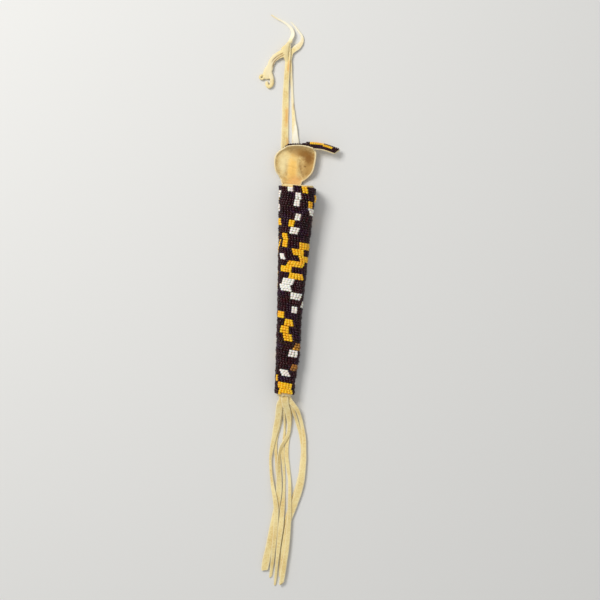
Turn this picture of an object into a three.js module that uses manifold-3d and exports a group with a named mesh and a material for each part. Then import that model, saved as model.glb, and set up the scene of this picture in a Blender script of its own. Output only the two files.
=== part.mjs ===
// A beaded hide awl case, lying on its back: a slender tapered tube of tanned hide wrapped in one
// long spiral lane of glass beads, with a cupped lid flap, two hanger thongs knotted together and a
// fringe of thongs caught in the tip. Millimetres, +Z up. The case runs along Y with its mouth at
// +Y, and the origin is on the surface it rests on, under the middle of the beaded length.
import * as THREE from "three";
import { mergeVertices } from "three/addons/utils/BufferGeometryUtils.js";
import Module from "manifold-3d";

const wasm = await Module();
wasm.setup();

// Driving dimensions: the case
const CASE_LENGTH = 145; // beaded length, mouth to tip
const MOUTH_WIDTH = 26.2;
const MOUTH_DEPTH = 22;
const TIP_WIDTH = 14.2;
const TIP_DEPTH = 12.4;
const TAPER_POWER = 1.35; // above 1, the case narrows faster near the mouth
const FRONT_ROUNDNESS = 2.1; // superellipse power of the front half of a section
const BACK_ROUNDNESS = 2.9; // the back half is flatter, from lying on it
const REST_FLAT = 0.2; // how deep the beads of the back are pressed flat
const HIDE = 1.0; // thickness of the tanned hide
const GAP = 0.3; // clearance between pieces that touch
const LANE_HEIGHT = 1.7; // how far the beads stand off the hide
const LANE_PITCH = 4.7; // one turn of the spiral lane, three beads wide
const GROOVE_DEPTH = 0.55; // between one turn and the next
const RIM_SHOWN = 0.7; // bare hide above the top lane

// Driving dimensions: the lid flap
const NECK_LENGTH = 3; // from the rim to the crease that the lid folds on
const NECK_WIDTH = 14;
const NECK_CENTRE = -4.5; // the neck is cut left of the middle
const NECK_ARC = [190, 283]; // degrees of the tube's wall that the neck grows from
const LID_OVERHANG = 1; // beyond the mouth on each side
const LID_REACH = 3; // beyond the mouth's depth, when it is shut
const LID_LIFT = 1.45; // how far its bottom lies above the neck, over the thongs
const LID_BULGE = 1.4; // bow of the far rim
const SIDE_TURN = { radius: 5, slope: 50 }; // its sides turn up on this radius to this slope
const FAR_TURN = { radius: 6.2, slope: 80 }; // its far end
const LID_BEAD = 1.5; // beads on the outer face
const LID_LANES = 5;
const TONGUE_WIDTH = 5.6;
const TONGUE_LEAN = 42; // degrees from level
const TONGUE_SLANT = 1.8; // how far its lower corner runs past its middle
const TONGUE_LANES = 3;

// Driving dimensions: the thongs
const THONG = 0.8; // thickness
const ROOT_DEPTH = 6; // how far the fringe reaches into the tip
const ROOT_WIDTH = 2.8; // the usual thong's width
const ROOT_SIDE = 0.8; // clearance of a root's edge to the round wall
const ROOT_CROWN = 0.75; // clearance of the top root under the round wall
const KNOT_HEIGHT = 4.6;
const KNOT_BEVEL = 0.6;
const LACE_WIDTH = 4.2;
const LACE = 1.8; // the knotted lace is doubled

// Fineness of the model
const ROUND = 24; // facets round the case
const LANE_ROWS = 4; // rows of facets across one lane
const TAPER_ROWS = 10; // rows of facets along the hide
const THONG_STEP = 5; // length of one facet of a thong

// What follows from them
const MOUTH_Y = CASE_LENGTH / 2;
const TIP_Y = -CASE_LENGTH / 2;
const RIM_Y = MOUTH_Y + RIM_SHOWN;
const CREASE_Y = RIM_Y + NECK_LENGTH;
const HIDE_INSET = LANE_HEIGHT + GAP; // from the beads' face to the hide
const BACK_MID_Z = HIDE_INSET - REST_FLAT + HIDE / 2; // middle of the hide at the back
const CREASE_Z = BACK_MID_Z + HIDE / 2;
const LID_WIDTH = MOUTH_WIDTH + 2 * LID_OVERHANG;
const LID_LENGTH = MOUTH_DEPTH + LID_REACH;
const LAYER = THONG + GAP; // one thong lying on another
const BORE_INSET = HIDE_INSET + HIDE;
const ROOT_COLUMN = TIP_WIDTH / 2 - BORE_INSET - ROOT_SIDE - ROOT_WIDTH / 2;
const ROOT_TOP_Z = TIP_DEPTH - REST_FLAT - BORE_INSET - ROOT_CROWN - THONG / 2;

const COLOURS = {
  hide: 0xd9bd8a,
  beads: 0x2b1216,
  thong: 0xe6d6a8,
  amber: 0xe39a1b,
};

const { lerp, clamp, smoothstep, degToRad } = THREE.MathUtils;

function material(color, roughness) {
  return new THREE.MeshStandardMaterial({ color, roughness, metalness: 0 });
}

const hideMaterial = material(COLOURS.hide, 0.85);
const beadMaterial = material(COLOURS.beads, 0.25);
const thongMaterial = material(COLOURS.thong, 0.9);
const amberMaterial = material(COLOURS.amber, 0.25);

// Solids and meshes

function solidOf(geometry) {
  const bare = new THREE.BufferGeometry();
  bare.setAttribute("position", geometry.getAttribute("position"));
  bare.setIndex(geometry.index);
  const merged = mergeVertices(bare, 1e-4);
  return new wasm.Manifold(
    new wasm.Mesh({
      numProp: 3,
      vertProperties: new Float32Array(merged.attributes.position.array),
      triVerts: new Uint32Array(merged.index.array),
    }),
  );
}

function geometryOf(solid) {
  const mesh = solid.getMesh();
  const geometry = new THREE.BufferGeometry();
  const position = new THREE.BufferAttribute(mesh.vertProperties, 3);
  geometry.setAttribute("position", position);
  geometry.setIndex(new THREE.BufferAttribute(mesh.triVerts, 1));
  return geometry;
}

function joined(...geometries) {
  const solids = geometries.map(solidOf);
  return geometryOf(solids.reduce((sum, next) => sum.add(next)));
}

function cutBy(geometry, ...cutters) {
  const solids = cutters.map(solidOf);
  return geometryOf(solids.reduce((rest, next) => rest.subtract(next), solidOf(geometry)));
}

function within(geometry, other) {
  return geometryOf(solidOf(geometry).intersect(solidOf(other)));
}

function largestBody(geometry) {
  const bodies = solidOf(geometry).decompose();
  return geometryOf(bodies.reduce((best, next) => (next.volume() > best.volume() ? next : best)));
}

function meshNamed(name, geometry, surface) {
  geometry.computeVertexNormals();
  const mesh = new THREE.Mesh(geometry, surface);
  mesh.name = name;
  return mesh;
}

function indexed(points, faces) {
  const geometry = new THREE.BufferGeometry().setFromPoints(points);
  geometry.setIndex(faces);
  return geometry;
}

// A closed solid from rings of points, each ring anticlockwise seen from the last one.
function ringLoft(rings) {
  const count = rings[0].length;
  const points = rings.flat();
  const faces = [];
  for (let r = 0; r + 1 < rings.length; r++) {
    for (let i = 0; i < count; i++) {
      const a = r * count + i;
      const b = r * count + ((i + 1) % count);
      faces.push(a, b, b + count, a, b + count, a + count);
    }
  }
  const middle = (ring) =>
    ring.reduce((sum, p) => sum.add(p), new THREE.Vector3()).divideScalar(count);
  const first = points.push(middle(rings[0])) - 1;
  const last = points.push(middle(rings.at(-1))) - 1;
  const top = (rings.length - 1) * count;
  for (let i = 0; i < count; i++) {
    const next = (i + 1) % count;
    faces.push(first, next, i, last, top + i, top + next);
  }
  return indexed(points, faces);
}

// A sheet of hide or beads: the closed solid between two offsets of a surface. at(u, v) is a point
// of the surface, and low and high are offsets along its normal, numbers or functions of u and v.
function sheetSolid(at, us, vs, low, high) {
  const offset = (value, u, v) => (typeof value === "function" ? value(u, v) : value);
  const step = 1e-3;
  const normal = (u, v) => {
    const du = at(u + step, v).sub(at(u - step, v));
    const dv = at(u, v + step).sub(at(u, v - step));
    return dv.cross(du).normalize();
  };
  const points = [];
  for (const side of [low, high]) {
    for (const u of us) {
      for (const v of vs) {
        points.push(at(u, v).addScaledVector(normal(u, v), offset(side, u, v)));
      }
    }
  }
  const columns = vs.length;
  const sheet = us.length * columns;
  const faces = [];
  const quad = (a, b, c, d) => faces.push(a, b, c, a, c, d);
  for (let i = 0; i + 1 < us.length; i++) {
    for (let j = 0; j + 1 < columns; j++) {
      const a = i * columns + j;
      quad(a, a + columns, a + columns + 1, a + 1);
      quad(a + sheet, a + sheet + 1, a + sheet + columns + 1, a + sheet + columns);
    }
  }
  const wall = (a, b) => quad(a, b, b + sheet, a + sheet);
  const lastRow = (us.length - 1) * columns;
  for (let j = 0; j + 1 < columns; j++) {
    wall(j, j + 1);
    wall(lastRow + j + 1, lastRow + j);
  }
  for (let i = 0; i + 1 < us.length; i++) {
    wall((i + 1) * columns, i * columns);
    wall(i * columns + columns - 1, (i + 1) * columns + columns - 1);
  }
  return indexed(points, faces);
}

function evenly(from, to, count) {
  return Array.from({ length: count + 1 }, (_, i) => lerp(from, to, i / count));
}

// The case's section

function taperAt(y) {
  const along = clamp((MOUTH_Y - y) / CASE_LENGTH, -0.1, 1);
  return (1 - along) ** TAPER_POWER;
}

// The point of the case at height y along it and at an angle from +X towards +Z, inset from the
// crest of the beads.
function casePoint(y, angle, inset) {
  const width = lerp(TIP_WIDTH, MOUTH_WIDTH, taperAt(y)) / 2;
  const depth = lerp(TIP_DEPTH, MOUTH_DEPTH, taperAt(y)) / 2;
  const power = lerp(FRONT_ROUNDNESS, BACK_ROUNDNESS, (1 - Math.sin(angle)) / 2);
  const across = Math.abs(Math.cos(angle) / (width - inset)) ** power;
  const through = Math.abs(Math.sin(angle) / (depth - inset)) ** power;
  const radius = (across + through) ** (-1 / power);
  return new THREE.Vector3(
    radius * Math.cos(angle),
    y,
    depth - REST_FLAT + radius * Math.sin(angle),
  );
}

function caseRing(y, inset) {
  const angles = evenly(0, 2 * Math.PI, ROUND).slice(0, -1);
  return angles.map((angle) => casePoint(y, angle, inset));
}

// A smooth tapered bar with the case's section, from the tip's end up to the mouth's.
function taperedBar(from, to, inset) {
  return ringLoft(evenly(to, from, TAPER_ROWS).map((y) => caseRing(y, inset)));
}

// The neck: from the tube's back wall to a level strip at the crease
function neckSheet() {
  const start = MOUTH_Y + GAP;
  const end = CREASE_Y - GAP / 2;
  const at = (u, v) => {
    const y = lerp(start, end, u);
    const angle = degToRad(lerp(NECK_ARC[0], NECK_ARC[1], v));
    const wall = casePoint(y, angle, HIDE_INSET + HIDE / 2);
    const level = new THREE.Vector3(neckEdge(v), y, BACK_MID_Z);
    return wall.lerp(level, smoothstep(u, 0, 1));
  };
  return sheetSolid(at, evenly(0, 1, 6), evenly(0, 1, 10), -HIDE / 2, HIDE / 2);
}

function neckEdge(v) {
  return NECK_CENTRE + lerp(-NECK_WIDTH / 2, NECK_WIDTH / 2, v);
}

function hideTube() {
  const outside = taperedBar(TIP_Y, RIM_Y, HIDE_INSET);
  const bore = taperedBar(TIP_Y - 1, RIM_Y + 1, BORE_INSET);
  return joined(cutBy(outside, bore), neckSheet());
}

// The bead wrap: one lane wound round and round in a left-handed spiral, its rows of facets
// following the spiral. The ends are then cut square, the back is pressed flat and the hide's
// space is cut out.
function laneInset(row) {
  return [GROOVE_DEPTH, 0.08, 0, 0.08][row % LANE_ROWS];
}

function beadWrap() {
  const lanesAbove = Math.ceil(MOUTH_Y / LANE_PITCH) + 1;
  // A crest of the lane crosses the back right at the origin.
  const topY = (lanesAbove - 0.25) * LANE_PITCH;
  const rows = LANE_ROWS * (Math.ceil((topY - TIP_Y) / LANE_PITCH) + 2);
  const points = [];
  const addPoint = (row, i) => {
    const y = topY + (i / ROUND - row / LANE_ROWS) * LANE_PITCH;
    return points.push(casePoint(y, (i / ROUND) * 2 * Math.PI, laneInset(row))) - 1;
  };
  for (let row = 0; row <= rows; row++) {
    for (let i = 0; i < ROUND; i++) addPoint(row, i);
  }
  // After a full turn a row carries on as the row one lane further up, so only the first lane
  // needs points of its own there.
  const turned = [...Array(LANE_ROWS).keys()].map((row) => addPoint(row, ROUND));
  const vertex = (row, i) => {
    if (i < ROUND) return row * ROUND + i;
    return row < LANE_ROWS ? turned[row] : (row - LANE_ROWS) * ROUND;
  };
  const faces = [];
  for (let row = 0; row < rows; row++) {
    for (let i = 0; i < ROUND; i++) {
      const [a, b] = [vertex(row, i), vertex(row, i + 1)];
      const [c, d] = [vertex(row + 1, i + 1), vertex(row + 1, i)];
      faces.push(a, b, c, a, c, d);
    }
  }
  const around = [...Array(ROUND).keys()];
  const topLoop = [...around.map((i) => vertex(0, i)), ...turned];
  const bottomLoop = around.map((i) => vertex(rows, i));
  for (let row = rows; row < rows + LANE_ROWS; row++) bottomLoop.push(vertex(row, ROUND));
  const middle = (y) => points.push(new THREE.Vector3(0, y, TIP_DEPTH / 2)) - 1;
  const topMiddle = middle(topY + LANE_PITCH / 2);
  const bottomMiddle = middle(topY - (rows / LANE_ROWS) * LANE_PITCH + LANE_PITCH / 2);
  topLoop.forEach((v, i) => faces.push(topMiddle, topLoop[(i + 1) % topLoop.length], v));
  bottomLoop.forEach((v, i) => {
    faces.push(bottomMiddle, v, bottomLoop[(i + 1) % bottomLoop.length]);
  });
  const squared = new THREE.BoxGeometry(2 * MOUTH_WIDTH, CASE_LENGTH, 2 * MOUTH_DEPTH);
  squared.translate(0, 0, MOUTH_DEPTH);
  return cutBy(
    within(indexed(points, faces), squared),
    taperedBar(TIP_Y - 1, MOUTH_Y + 1, LANE_HEIGHT),
  );
}

// The lid flap, in the crease's own frame: y runs out from the crease, z is height above the
// surface that the case rests on.

const leftEdge = new THREE.SplineCurve([
  new THREE.Vector2(neckEdge(0), 0),
  new THREE.Vector2(-0.47 * LID_WIDTH, 0.12 * LID_LENGTH),
  new THREE.Vector2(-0.571 * LID_WIDTH, 0.288 * LID_LENGTH),
  new THREE.Vector2(-0.603 * LID_WIDTH, 0.568 * LID_LENGTH),
  new THREE.Vector2(-0.535 * LID_WIDTH, 0.77 * LID_LENGTH),
  new THREE.Vector2(-0.323 * LID_WIDTH, 0.944 * LID_LENGTH),
]);

const rightEdge = new THREE.SplineCurve([
  new THREE.Vector2(neckEdge(1), 0),
  new THREE.Vector2(0.245 * LID_WIDTH, 0.136 * LID_LENGTH),
  new THREE.Vector2(0.348 * LID_WIDTH, 0.304 * LID_LENGTH),
  new THREE.Vector2(0.394 * LID_WIDTH, 0.58 * LID_LENGTH),
  new THREE.Vector2(0.397 * LID_WIDTH, 0.82 * LID_LENGTH),
  new THREE.Vector2(0.323 * LID_WIDTH, 0.936 * LID_LENGTH),
]);

function lidPlan(u, v) {
  const [left, right] = [leftEdge.getPoint(clamp(u, 0, 1)), rightEdge.getPoint(clamp(u, 0, 1))];
  const point = left.lerp(right, v);
  point.y += LID_BULGE * u * u * 4 * v * (1 - v);
  return point;
}

// A turned-up edge: its height at a distance inside the rim. It is an arc that ends at a slope.
function turnUp(distance, { radius, slope }) {
  const inside = Math.max(radius * Math.sin(degToRad(slope)) - distance, 0);
  return radius - Math.sqrt(radius * radius - inside * inside);
}

function lidPoint(u, v) {
  const plan = lidPlan(u, v);
  const toFar = lidPlan(1, v).y - plan.y;
  const span = rightEdge.getPoint(clamp(u, 0, 1)).x - leftEdge.getPoint(clamp(u, 0, 1)).x;
  const toSide = Math.min(v, 1 - v) * span;
  const side = turnUp(toSide, SIDE_TURN) * smoothstep(u, 0.05, 0.4);
  const far = turnUp(toFar, FAR_TURN);
  const bottom = BACK_MID_Z + LID_LIFT * smoothstep(plan.y, 0, 0.2 * LID_LENGTH);
  return new THREE.Vector3(plan.x, plan.y, bottom + Math.hypot(side, far));
}

// Sample places that crowd towards the rims, where the lid turns up.
function towardsEnd(count, from, to, power) {
  return evenly(0, 1, count).map((t) => lerp(from, to, 1 - (1 - t) ** power));
}

function towardsBoth(count, from, to) {
  return evenly(0, Math.PI, count).map((t) => lerp(from, to, 0.5 - 0.5 * Math.cos(t)));
}

// The height of one lane of beads, from its groove to its crest and back.
function laneProfile(lanes, t) {
  return 1 - 0.3 * Math.abs(Math.cos(Math.PI * lanes * t)) ** 4;
}

const LID_START = GAP / LID_LENGTH;

function tonguePoint(u, v) {
  const lean = degToRad(TONGUE_LEAN);
  const middle = tongueLine.getPoint(clamp(u, 0, 1));
  const across = (v - 0.5) * TONGUE_WIDTH * lerp(1, 0.72, u * u);
  return new THREE.Vector3(
    middle.x - (2 * v - 1) * TONGUE_SLANT * u * u,
    middle.y - across * Math.cos(lean),
    middle.z + across * Math.sin(lean),
  );
}

const tongueLine = new THREE.CatmullRomCurve3([
  new THREE.Vector3(0.26 * LID_WIDTH, 0.955 * LID_LENGTH, 6.7),
  new THREE.Vector3(0.42 * LID_WIDTH, LID_LENGTH, 6.3),
  new THREE.Vector3(0.62 * LID_WIDTH, 0.98 * LID_LENGTH, 5.9),
  new THREE.Vector3(0.92 * LID_WIDTH, 0.89 * LID_LENGTH, 5.3),
]);

function lidFlap() {
  const rows = towardsEnd(16, LID_START, 1, 1.7);
  const bowl = sheetSolid(lidPoint, rows, towardsBoth(12, 0, 1), -HIDE / 2, HIDE / 2);
  const tongue = sheetSolid(
    tonguePoint, evenly(0.07, 1, 8), evenly(0, 1, 2), -HIDE / 2, HIDE / 2,
  );
  return joined(bowl, tongue);
}

function tongueBeads() {
  const near = HIDE / 2 + GAP;
  const beads = (u, v) => near + LID_BEAD * laneProfile(TONGUE_LANES, v);
  const [rows, columns] = [evenly(0.27, 0.97, 8), evenly(0.03, 0.97, 4 * TONGUE_LANES)];
  return sheetSolid(tonguePoint, rows, columns, near, beads);
}

// The space that the tongue and its beads take out of the lid's own beads
function tongueSpace() {
  const face = HIDE / 2 + 2 * GAP + LID_BEAD;
  return sheetSolid(tonguePoint, evenly(0, 1, 8), evenly(-0.1, 1.1, 2), -HIDE / 2 - GAP, face);
}

function lidBeads() {
  const near = -(HIDE / 2 + GAP);
  const [first, last] = [0.26, 0.985];
  const beads = (u) => near - LID_BEAD * laneProfile(LID_LANES, (u - first) / (last - first));
  const rows = evenly(first, last, 4 * LID_LANES);
  const panel = sheetSolid(lidPoint, rows, towardsBoth(12, 0.04, 0.96), beads, near);
  return largestBody(cutBy(panel, tongueSpace()));
}

// Thongs: flat strips of hide along a curve, with their width level. Their widths are given at
// even steps along it.
class ThongCurve extends THREE.CatmullRomCurve3 {
  constructor(places, widths) {
    super(places.map((place) => new THREE.Vector3(...place)), false, "centripetal");
    this.widths = widths;
  }

  // The width at a share of the length, as a share of the greatest one
  narrowing(u) {
    const place = u * (this.widths.length - 1);
    const i = Math.min(Math.floor(place), this.widths.length - 2);
    return lerp(this.widths[i], this.widths[i + 1], place - i) / Math.max(...this.widths);
  }

  computeFrenetFrames(steps) {
    const up = new THREE.Vector3(0, 0, 1);
    const places = evenly(0, 1, steps);
    const tangents = places.map((u) => this.getTangentAt(u));
    const sides = tangents.map((t) => t.clone().cross(up).normalize());
    const normals = tangents.map((t, i) => sides[i].clone().cross(t).normalize());
    const binormals = places.map((u, i) => sides[i].clone().multiplyScalar(this.narrowing(u)));
    return { tangents, normals, binormals };
  }
}

function thong(places, widths, thickness, step = THONG_STEP) {
  const [t, w, corner] = [thickness / 2, Math.max(...widths) / 2, thickness / 4];
  const section = new THREE.Shape([
    new THREE.Vector2(t, corner - w),
    new THREE.Vector2(t, w - corner),
    new THREE.Vector2(t - corner, w),
    new THREE.Vector2(corner - t, w),
    new THREE.Vector2(-t, w - corner),
    new THREE.Vector2(-t, corner - w),
    new THREE.Vector2(corner - t, -w),
    new THREE.Vector2(t - corner, -w),
  ]);
  const path = new ThongCurve(places, widths);
  const steps = Math.max(4, Math.round(path.getLength() / step));
  return new THREE.ExtrudeGeometry(section, { extrudePath: path, steps });
}

// The fringe: seven thongs, their roots stacked in the tip. Each has its place in the stack, a
// column and a layer below the top one, its widths from root to tip and its route from the tip
// on, whose y is measured from the tip.
const FRINGE = [
  {
    column: -1, layer: 1,
    widths: [ROOT_WIDTH, 3.6, 4.4, 2.8, 1.8, 2.6, 2.8, 2.6, 2.4, 2],
    route: [
      [-1.4, -3.8, 6.9], [-2.7, -7.4, 5.8], [-3.1, -11.6, 4.3], [-3.3, -15.8, 3],
      [-4, -22.2, 1.9], [-5.1, -29.3, 1.6], [-6.3, -37.7, 1.6], [-6.9, -45.4, 1.6],
      [-6, -54.6, 1.6], [-4, -65.6, 2.5], [-1.8, -74.6, 2.8], [-0.5, -83, 2.7],
      [-0.3, -91.4, 2.7], [-0.4, -99.8, 2.7], [-0.7, -107.5, 2.6], [-1, -115.3, 1.7],
      [-1.4, -122.3, 0.8], [-1.7, -128.6, 0.5],
    ],
  },
  {
    column: -1, layer: 3,
    widths: [ROOT_WIDTH, 3, 3.2, 2.2, 1.8, 2.4, 2.6, 2.4, 2.3, 2],
    route: [
      [-0.9, -3.8, 4.6], [-1.7, -7.3, 3.8], [-1.9, -11.5, 2.7], [-2, -15.8, 1.6],
      [-2.7, -22.8, 0.6], [-3.8, -31.3, 0.5], [-3.7, -39.8, 0.5], [-2.8, -46.7, 0.5],
      [-2.1, -52.9, 0.5], [-0.7, -60.5, 0.5], [0.5, -70.3, 0.5], [0, -80.1, 0.5],
      [-1.4, -90, 0.5], [-2.7, -99.3, 0.5], [-3.8, -107.7, 0.5], [-4.4, -114.8, 0.5],
      [-4.9, -121.1, 0.5],
    ],
  },
  {
    column: -1, layer: 2,
    widths: [1.6, 1.4, 1.4, 1.5, 1.6, 1.5, 1.6, 1.6, 1.6, 1.3],
    route: [
      [0.1, -3.7, 5.8], [0.2, -7.2, 5], [0.6, -11.4, 3.6], [0.9, -15.6, 2.1],
      [1.5, -22.5, 0.7], [1.6, -30.2, 0.5], [1.2, -37.3, 0.5], [1.6, -44.3, 0.5],
      [2.5, -50.5, 0.5], [3.3, -56.8, 0.5], [3.8, -64.5, 0.5], [3.8, -73.6, 0.6],
      [3.5, -82, 1.2], [3.3, -90.5, 2.2], [2.9, -100.3, 2.7], [2.4, -109.5, 2.7],
      [2.1, -117.9, 2.4], [1.9, -125.6, 1.4], [1.7, -134, 0.6],
    ],
  },
  {
    column: 0, layer: 0,
    widths: [3.2, 4.2, 3.7, 2.4, 2.8, 3.8, 4, 4.2, 4.5, 5.2],
    route: [
      [0.5, -3.6, 8.1], [1.2, -7.1, 7], [2.8, -11.2, 5], [3.8, -15.4, 3.3],
      [4.7, -21.6, 2.1], [4.3, -28, 1.7], [2.1, -33, 1.6], [-0.1, -37.4, 1.6],
      [-1, -43, 1.6], [-0.9, -49.3, 1.6], [-0.1, -59.1, 1.6], [0.4, -69.6, 1.6],
      [-0.3, -78.8, 1.6], [-1.4, -86.5, 1.6], [-2.6, -95, 1.6], [-3.8, -104.9, 1.6],
      [-4.9, -113.4, 1.6], [-5.7, -119.1, 1.5], [-6.1, -124, 1.4],
    ],
  },
  {
    column: 1, layer: 3,
    widths: [ROOT_WIDTH, 3.2, 2.8, 2.2, 2.2, 2.4, 2.4, 2.6, 3.2, 3.2],
    route: [
      [2.9, -3.5, 4.6], [3.9, -7, 3.7], [4.6, -11.1, 2.5], [4.9, -15.3, 1.4],
      [5, -21.6, 0.5], [4.4, -30.1, 0.5], [3.9, -37.1, 0.5], [4.3, -44.1, 0.5],
      [5.5, -50.3, 0.5], [6.9, -57.3, 0.7], [7.7, -64.2, 1.7], [8.1, -71.2, 2.7],
      [8.5, -78.9, 2.7], [8.8, -85.9, 2.7], [8.8, -93.6, 2.7], [8.7, -101.3, 2.7],
      [8.3, -109.8, 2.7], [7.5, -117.5, 2.7], [6.8, -125.3, 2.7], [6.2, -132.4, 2.6],
    ],
  },
  {
    column: 1, layer: 2,
    widths: [ROOT_WIDTH, 2.3, 2.2, 2.8, 3.4, 3.4, 2.8, 2.6, 2.4, 2.2],
    route: [
      [4, -3.4, 5.7], [5.3, -6.9, 4.9], [7.1, -11.7, 3.3], [9, -16.5, 1.7],
      [11, -21.9, 0.7], [13.2, -28.1, 0.5], [14.9, -35, 0.5], [15.7, -42, 0.5],
      [15.5, -49, 0.5], [14.8, -56.8, 0.5], [13.1, -65.3, 0.5], [10.5, -73.9, 0.5],
      [8.1, -82.4, 0.5], [6.3, -91.7, 0.5], [5.3, -100.8, 0.5], [4.8, -110, 0.5],
      [4.8, -118.4, 0.5], [5.2, -127.5, 0.5],
    ],
  },
  {
    column: 1, layer: 1,
    widths: [ROOT_WIDTH, 2.8, 2.6, 2.9, 3.8, 4.4, 3.4, 2.8, 2.6, 2.4],
    route: [
      [3.4, -3.4, 6.7], [6.4, -6.8, 6], [9.4, -10.1, 5.1], [11.6, -14.9, 3.3],
      [13.6, -21.1, 1.9], [15.3, -28, 1.6], [16.2, -35.6, 1.6], [16.4, -43.3, 1.6],
      [16.2, -50.4, 1.6], [15.6, -58.1, 1.6], [14.3, -66.6, 1.6], [12.1, -75.2, 1.6],
      [10, -83, 1.6], [8, -91.6, 1.6], [6.6, -100.8, 1.6], [5.9, -109.9, 1.6],
      [5.8, -119.1, 1.6], [6.1, -128.9, 1.6], [6.3, -133, 1.6],
    ],
  },
];

function fringeRoute({ column, layer, route }) {
  const [x, z] = [column * ROOT_COLUMN, ROOT_TOP_Z - layer * LAYER];
  return [[x, ROOT_DEPTH, z], [x, 0, z], ...route];
}

// The hanger: two thongs that start under the neck, pass behind the lid and end in thin tails
// above the knot. Their y is measured from the mouth.
const HANGER = {
  left: {
    widths: [5, 5.6, 5.6, 4.8, 4.5, 4.3, 3.6, 2.8, 1.6, 0.8],
    route: [
      [-7.7, 0.4, 0.75], [-8.1, 5.8, 0.75], [-8.9, 12.8, 0.75], [-9.7, 20.4, 0.7],
      [-10.5, 27.4, 0.6], [-11, 35.8, 0.5], [-11.5, 46.3, 0.5], [-12, 58.2, 0.6],
      [-12.4, 68.7, 1.4], [-12.4, 77.1, 2.4], [-12.4, 84.1, 2.8], [-12.3, 89.7, 2.8],
      [-12.2, 95.3, 2.8], [-11.9, 100.3, 2.8], [-10.7, 103.5, 2.6], [-9.9, 106.3, 2.2],
      [-10.9, 109.6, 1.9], [-13.5, 112.3, 1.7], [-17, 114.5, 1.6], [-21.7, 116.6, 1.3],
      [-26.1, 119, 1],
    ],
  },
  right: {
    widths: [4.8, 5, 5.1, 4.6, 3, 1.9, 1.6, 1.6, 1.7, 3.4, 3.2, 0.8],
    route: [
      [-2.1, 0.4, 0.75], [-2.5, 6.2, 0.75], [-2.7, 13.2, 0.75], [-2.9, 20.9, 0.7],
      [-3.1, 27.9, 0.6], [-4, 36.2, 0.5], [-5.5, 46.6, 0.5], [-7.1, 58.5, 0.5],
      [-8.2, 68.9, 0.6], [-9.2, 77.3, 1.1], [-9.9, 84.2, 1.6], [-10.5, 89.8, 1.7],
      [-10.1, 93.7, 1.7], [-7.8, 96.2, 1.5], [-5, 98.9, 1.1], [-3.2, 102.2, 0.7],
      [-3.5, 105.4, 0.5], [-5.8, 108.5, 0.5], [-8.8, 112, 0.5], [-12, 115.1, 0.5],
    ],
  },
};

function hangerThong(side, clearance = 0) {
  const { widths, route } = HANGER[side];
  const wider = widths.map((width) => width + 2 * clearance);
  return thong(route, wider, THONG + 2 * clearance);
}

// The knotted lace: a fold of hide round both thongs, whose doubled end hangs to one side and is
// split into a hook and a small curl.
function hangerKnot() {
  const fold = new THREE.Shape();
  fold.moveTo(-15.2, 89.3);
  fold.lineTo(-8.2, 89.3);
  fold.quadraticCurveTo(-7.9, 94, -8.6, 97);
  fold.quadraticCurveTo(-9, 99.5, -9.7, 101.4);
  fold.lineTo(-13.9, 101.4);
  fold.quadraticCurveTo(-15.2, 97.6, -18.8, 95.9);
  fold.quadraticCurveTo(-17.4, 92.6, -15.2, 89.3);
  const body = new THREE.ExtrudeGeometry(fold, {
    depth: KNOT_HEIGHT - 2 * KNOT_BEVEL,
    bevelThickness: KNOT_BEVEL,
    bevelSize: KNOT_BEVEL,
    bevelOffset: -KNOT_BEVEL,
    bevelSegments: 2,
    curveSegments: 4,
  });
  body.translate(0, 0, KNOT_BEVEL + GAP / 3);
  const branch = [
    [-15.5, 94.6, 2.4], [-17.6, 93.2, 2.2], [-20.6, 90.3, 1.9], [-23.6, 85.8, 1.5],
    [-25.5, 81.2, 1.3], [-26.3, 77.6, 1.3],
  ];
  const hook = [
    [-25.2, 79.4, 1.4], [-23.1, 76, 1.4], [-22.3, 72.3, 1.4], [-22.8, 69.5, 1.4],
    [-24.4, 68.5, 1.4], [-25.7, 70, 1.4], [-26, 72.6, 1.4],
  ];
  const [curlX, curlY, curlRadius] = [-29.4, 75.2, 1.6];
  const turn = evenly(degToRad(50), degToRad(300), 8);
  const round = (a) => [curlX + curlRadius * Math.cos(a), curlY + curlRadius * Math.sin(a), 1.4];
  const curl = [[-26.7, 79.2, 1.4], [-27.3, 77.7, 1.4], ...turn.map(round)];
  return cutBy(
    joined(
      body,
      thong(branch, [LACE_WIDTH, 3.8, 3.6, 4.6], LACE, 3),
      thong(hook, [2.8, 2.6, 2.6, 2.4], 2, 1.2),
      thong(curl, [1.6, 1.5, 1.4], 2, 1),
    ),
    hangerThong("left", GAP),
    hangerThong("right", GAP),
  );
}

// The assembly

function group(name, y, ...children) {
  const made = new THREE.Group();
  made.name = name;
  made.position.y = y;
  made.add(...children);
  return made;
}

const caseGroup = group(
  "case", 0,
  meshNamed("hide_tube", hideTube(), hideMaterial),
  meshNamed("bead_wrap", beadWrap(), beadMaterial),
);

const lidGroup = group(
  "lid", CREASE_Y,
  meshNamed("lid_flap", lidFlap(), hideMaterial),
  meshNamed("lid_beads", lidBeads(), beadMaterial),
  meshNamed("tongue_beads", tongueBeads(), amberMaterial),
);

const hangerGroup = group(
  "hanger", MOUTH_Y,
  meshNamed("hanger_thong_left", hangerThong("left"), thongMaterial),
  meshNamed("hanger_thong_right", hangerThong("right"), thongMaterial),
  meshNamed("hanger_knot", hangerKnot(), thongMaterial),
);

const fringeGroup = group(
  "fringe", TIP_Y,
  ...FRINGE.map((strip, i) => {
    const shape = thong(fringeRoute(strip), strip.widths, THONG);
    return meshNamed(`fringe_thong_${i + 1}`, shape, thongMaterial);
  }),
);

const awlCase = new THREE.Group();
awlCase.name = "awl_case";
awlCase.add(caseGroup, lidGroup, hangerGroup, fringeGroup);

export default awlCase;
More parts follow.
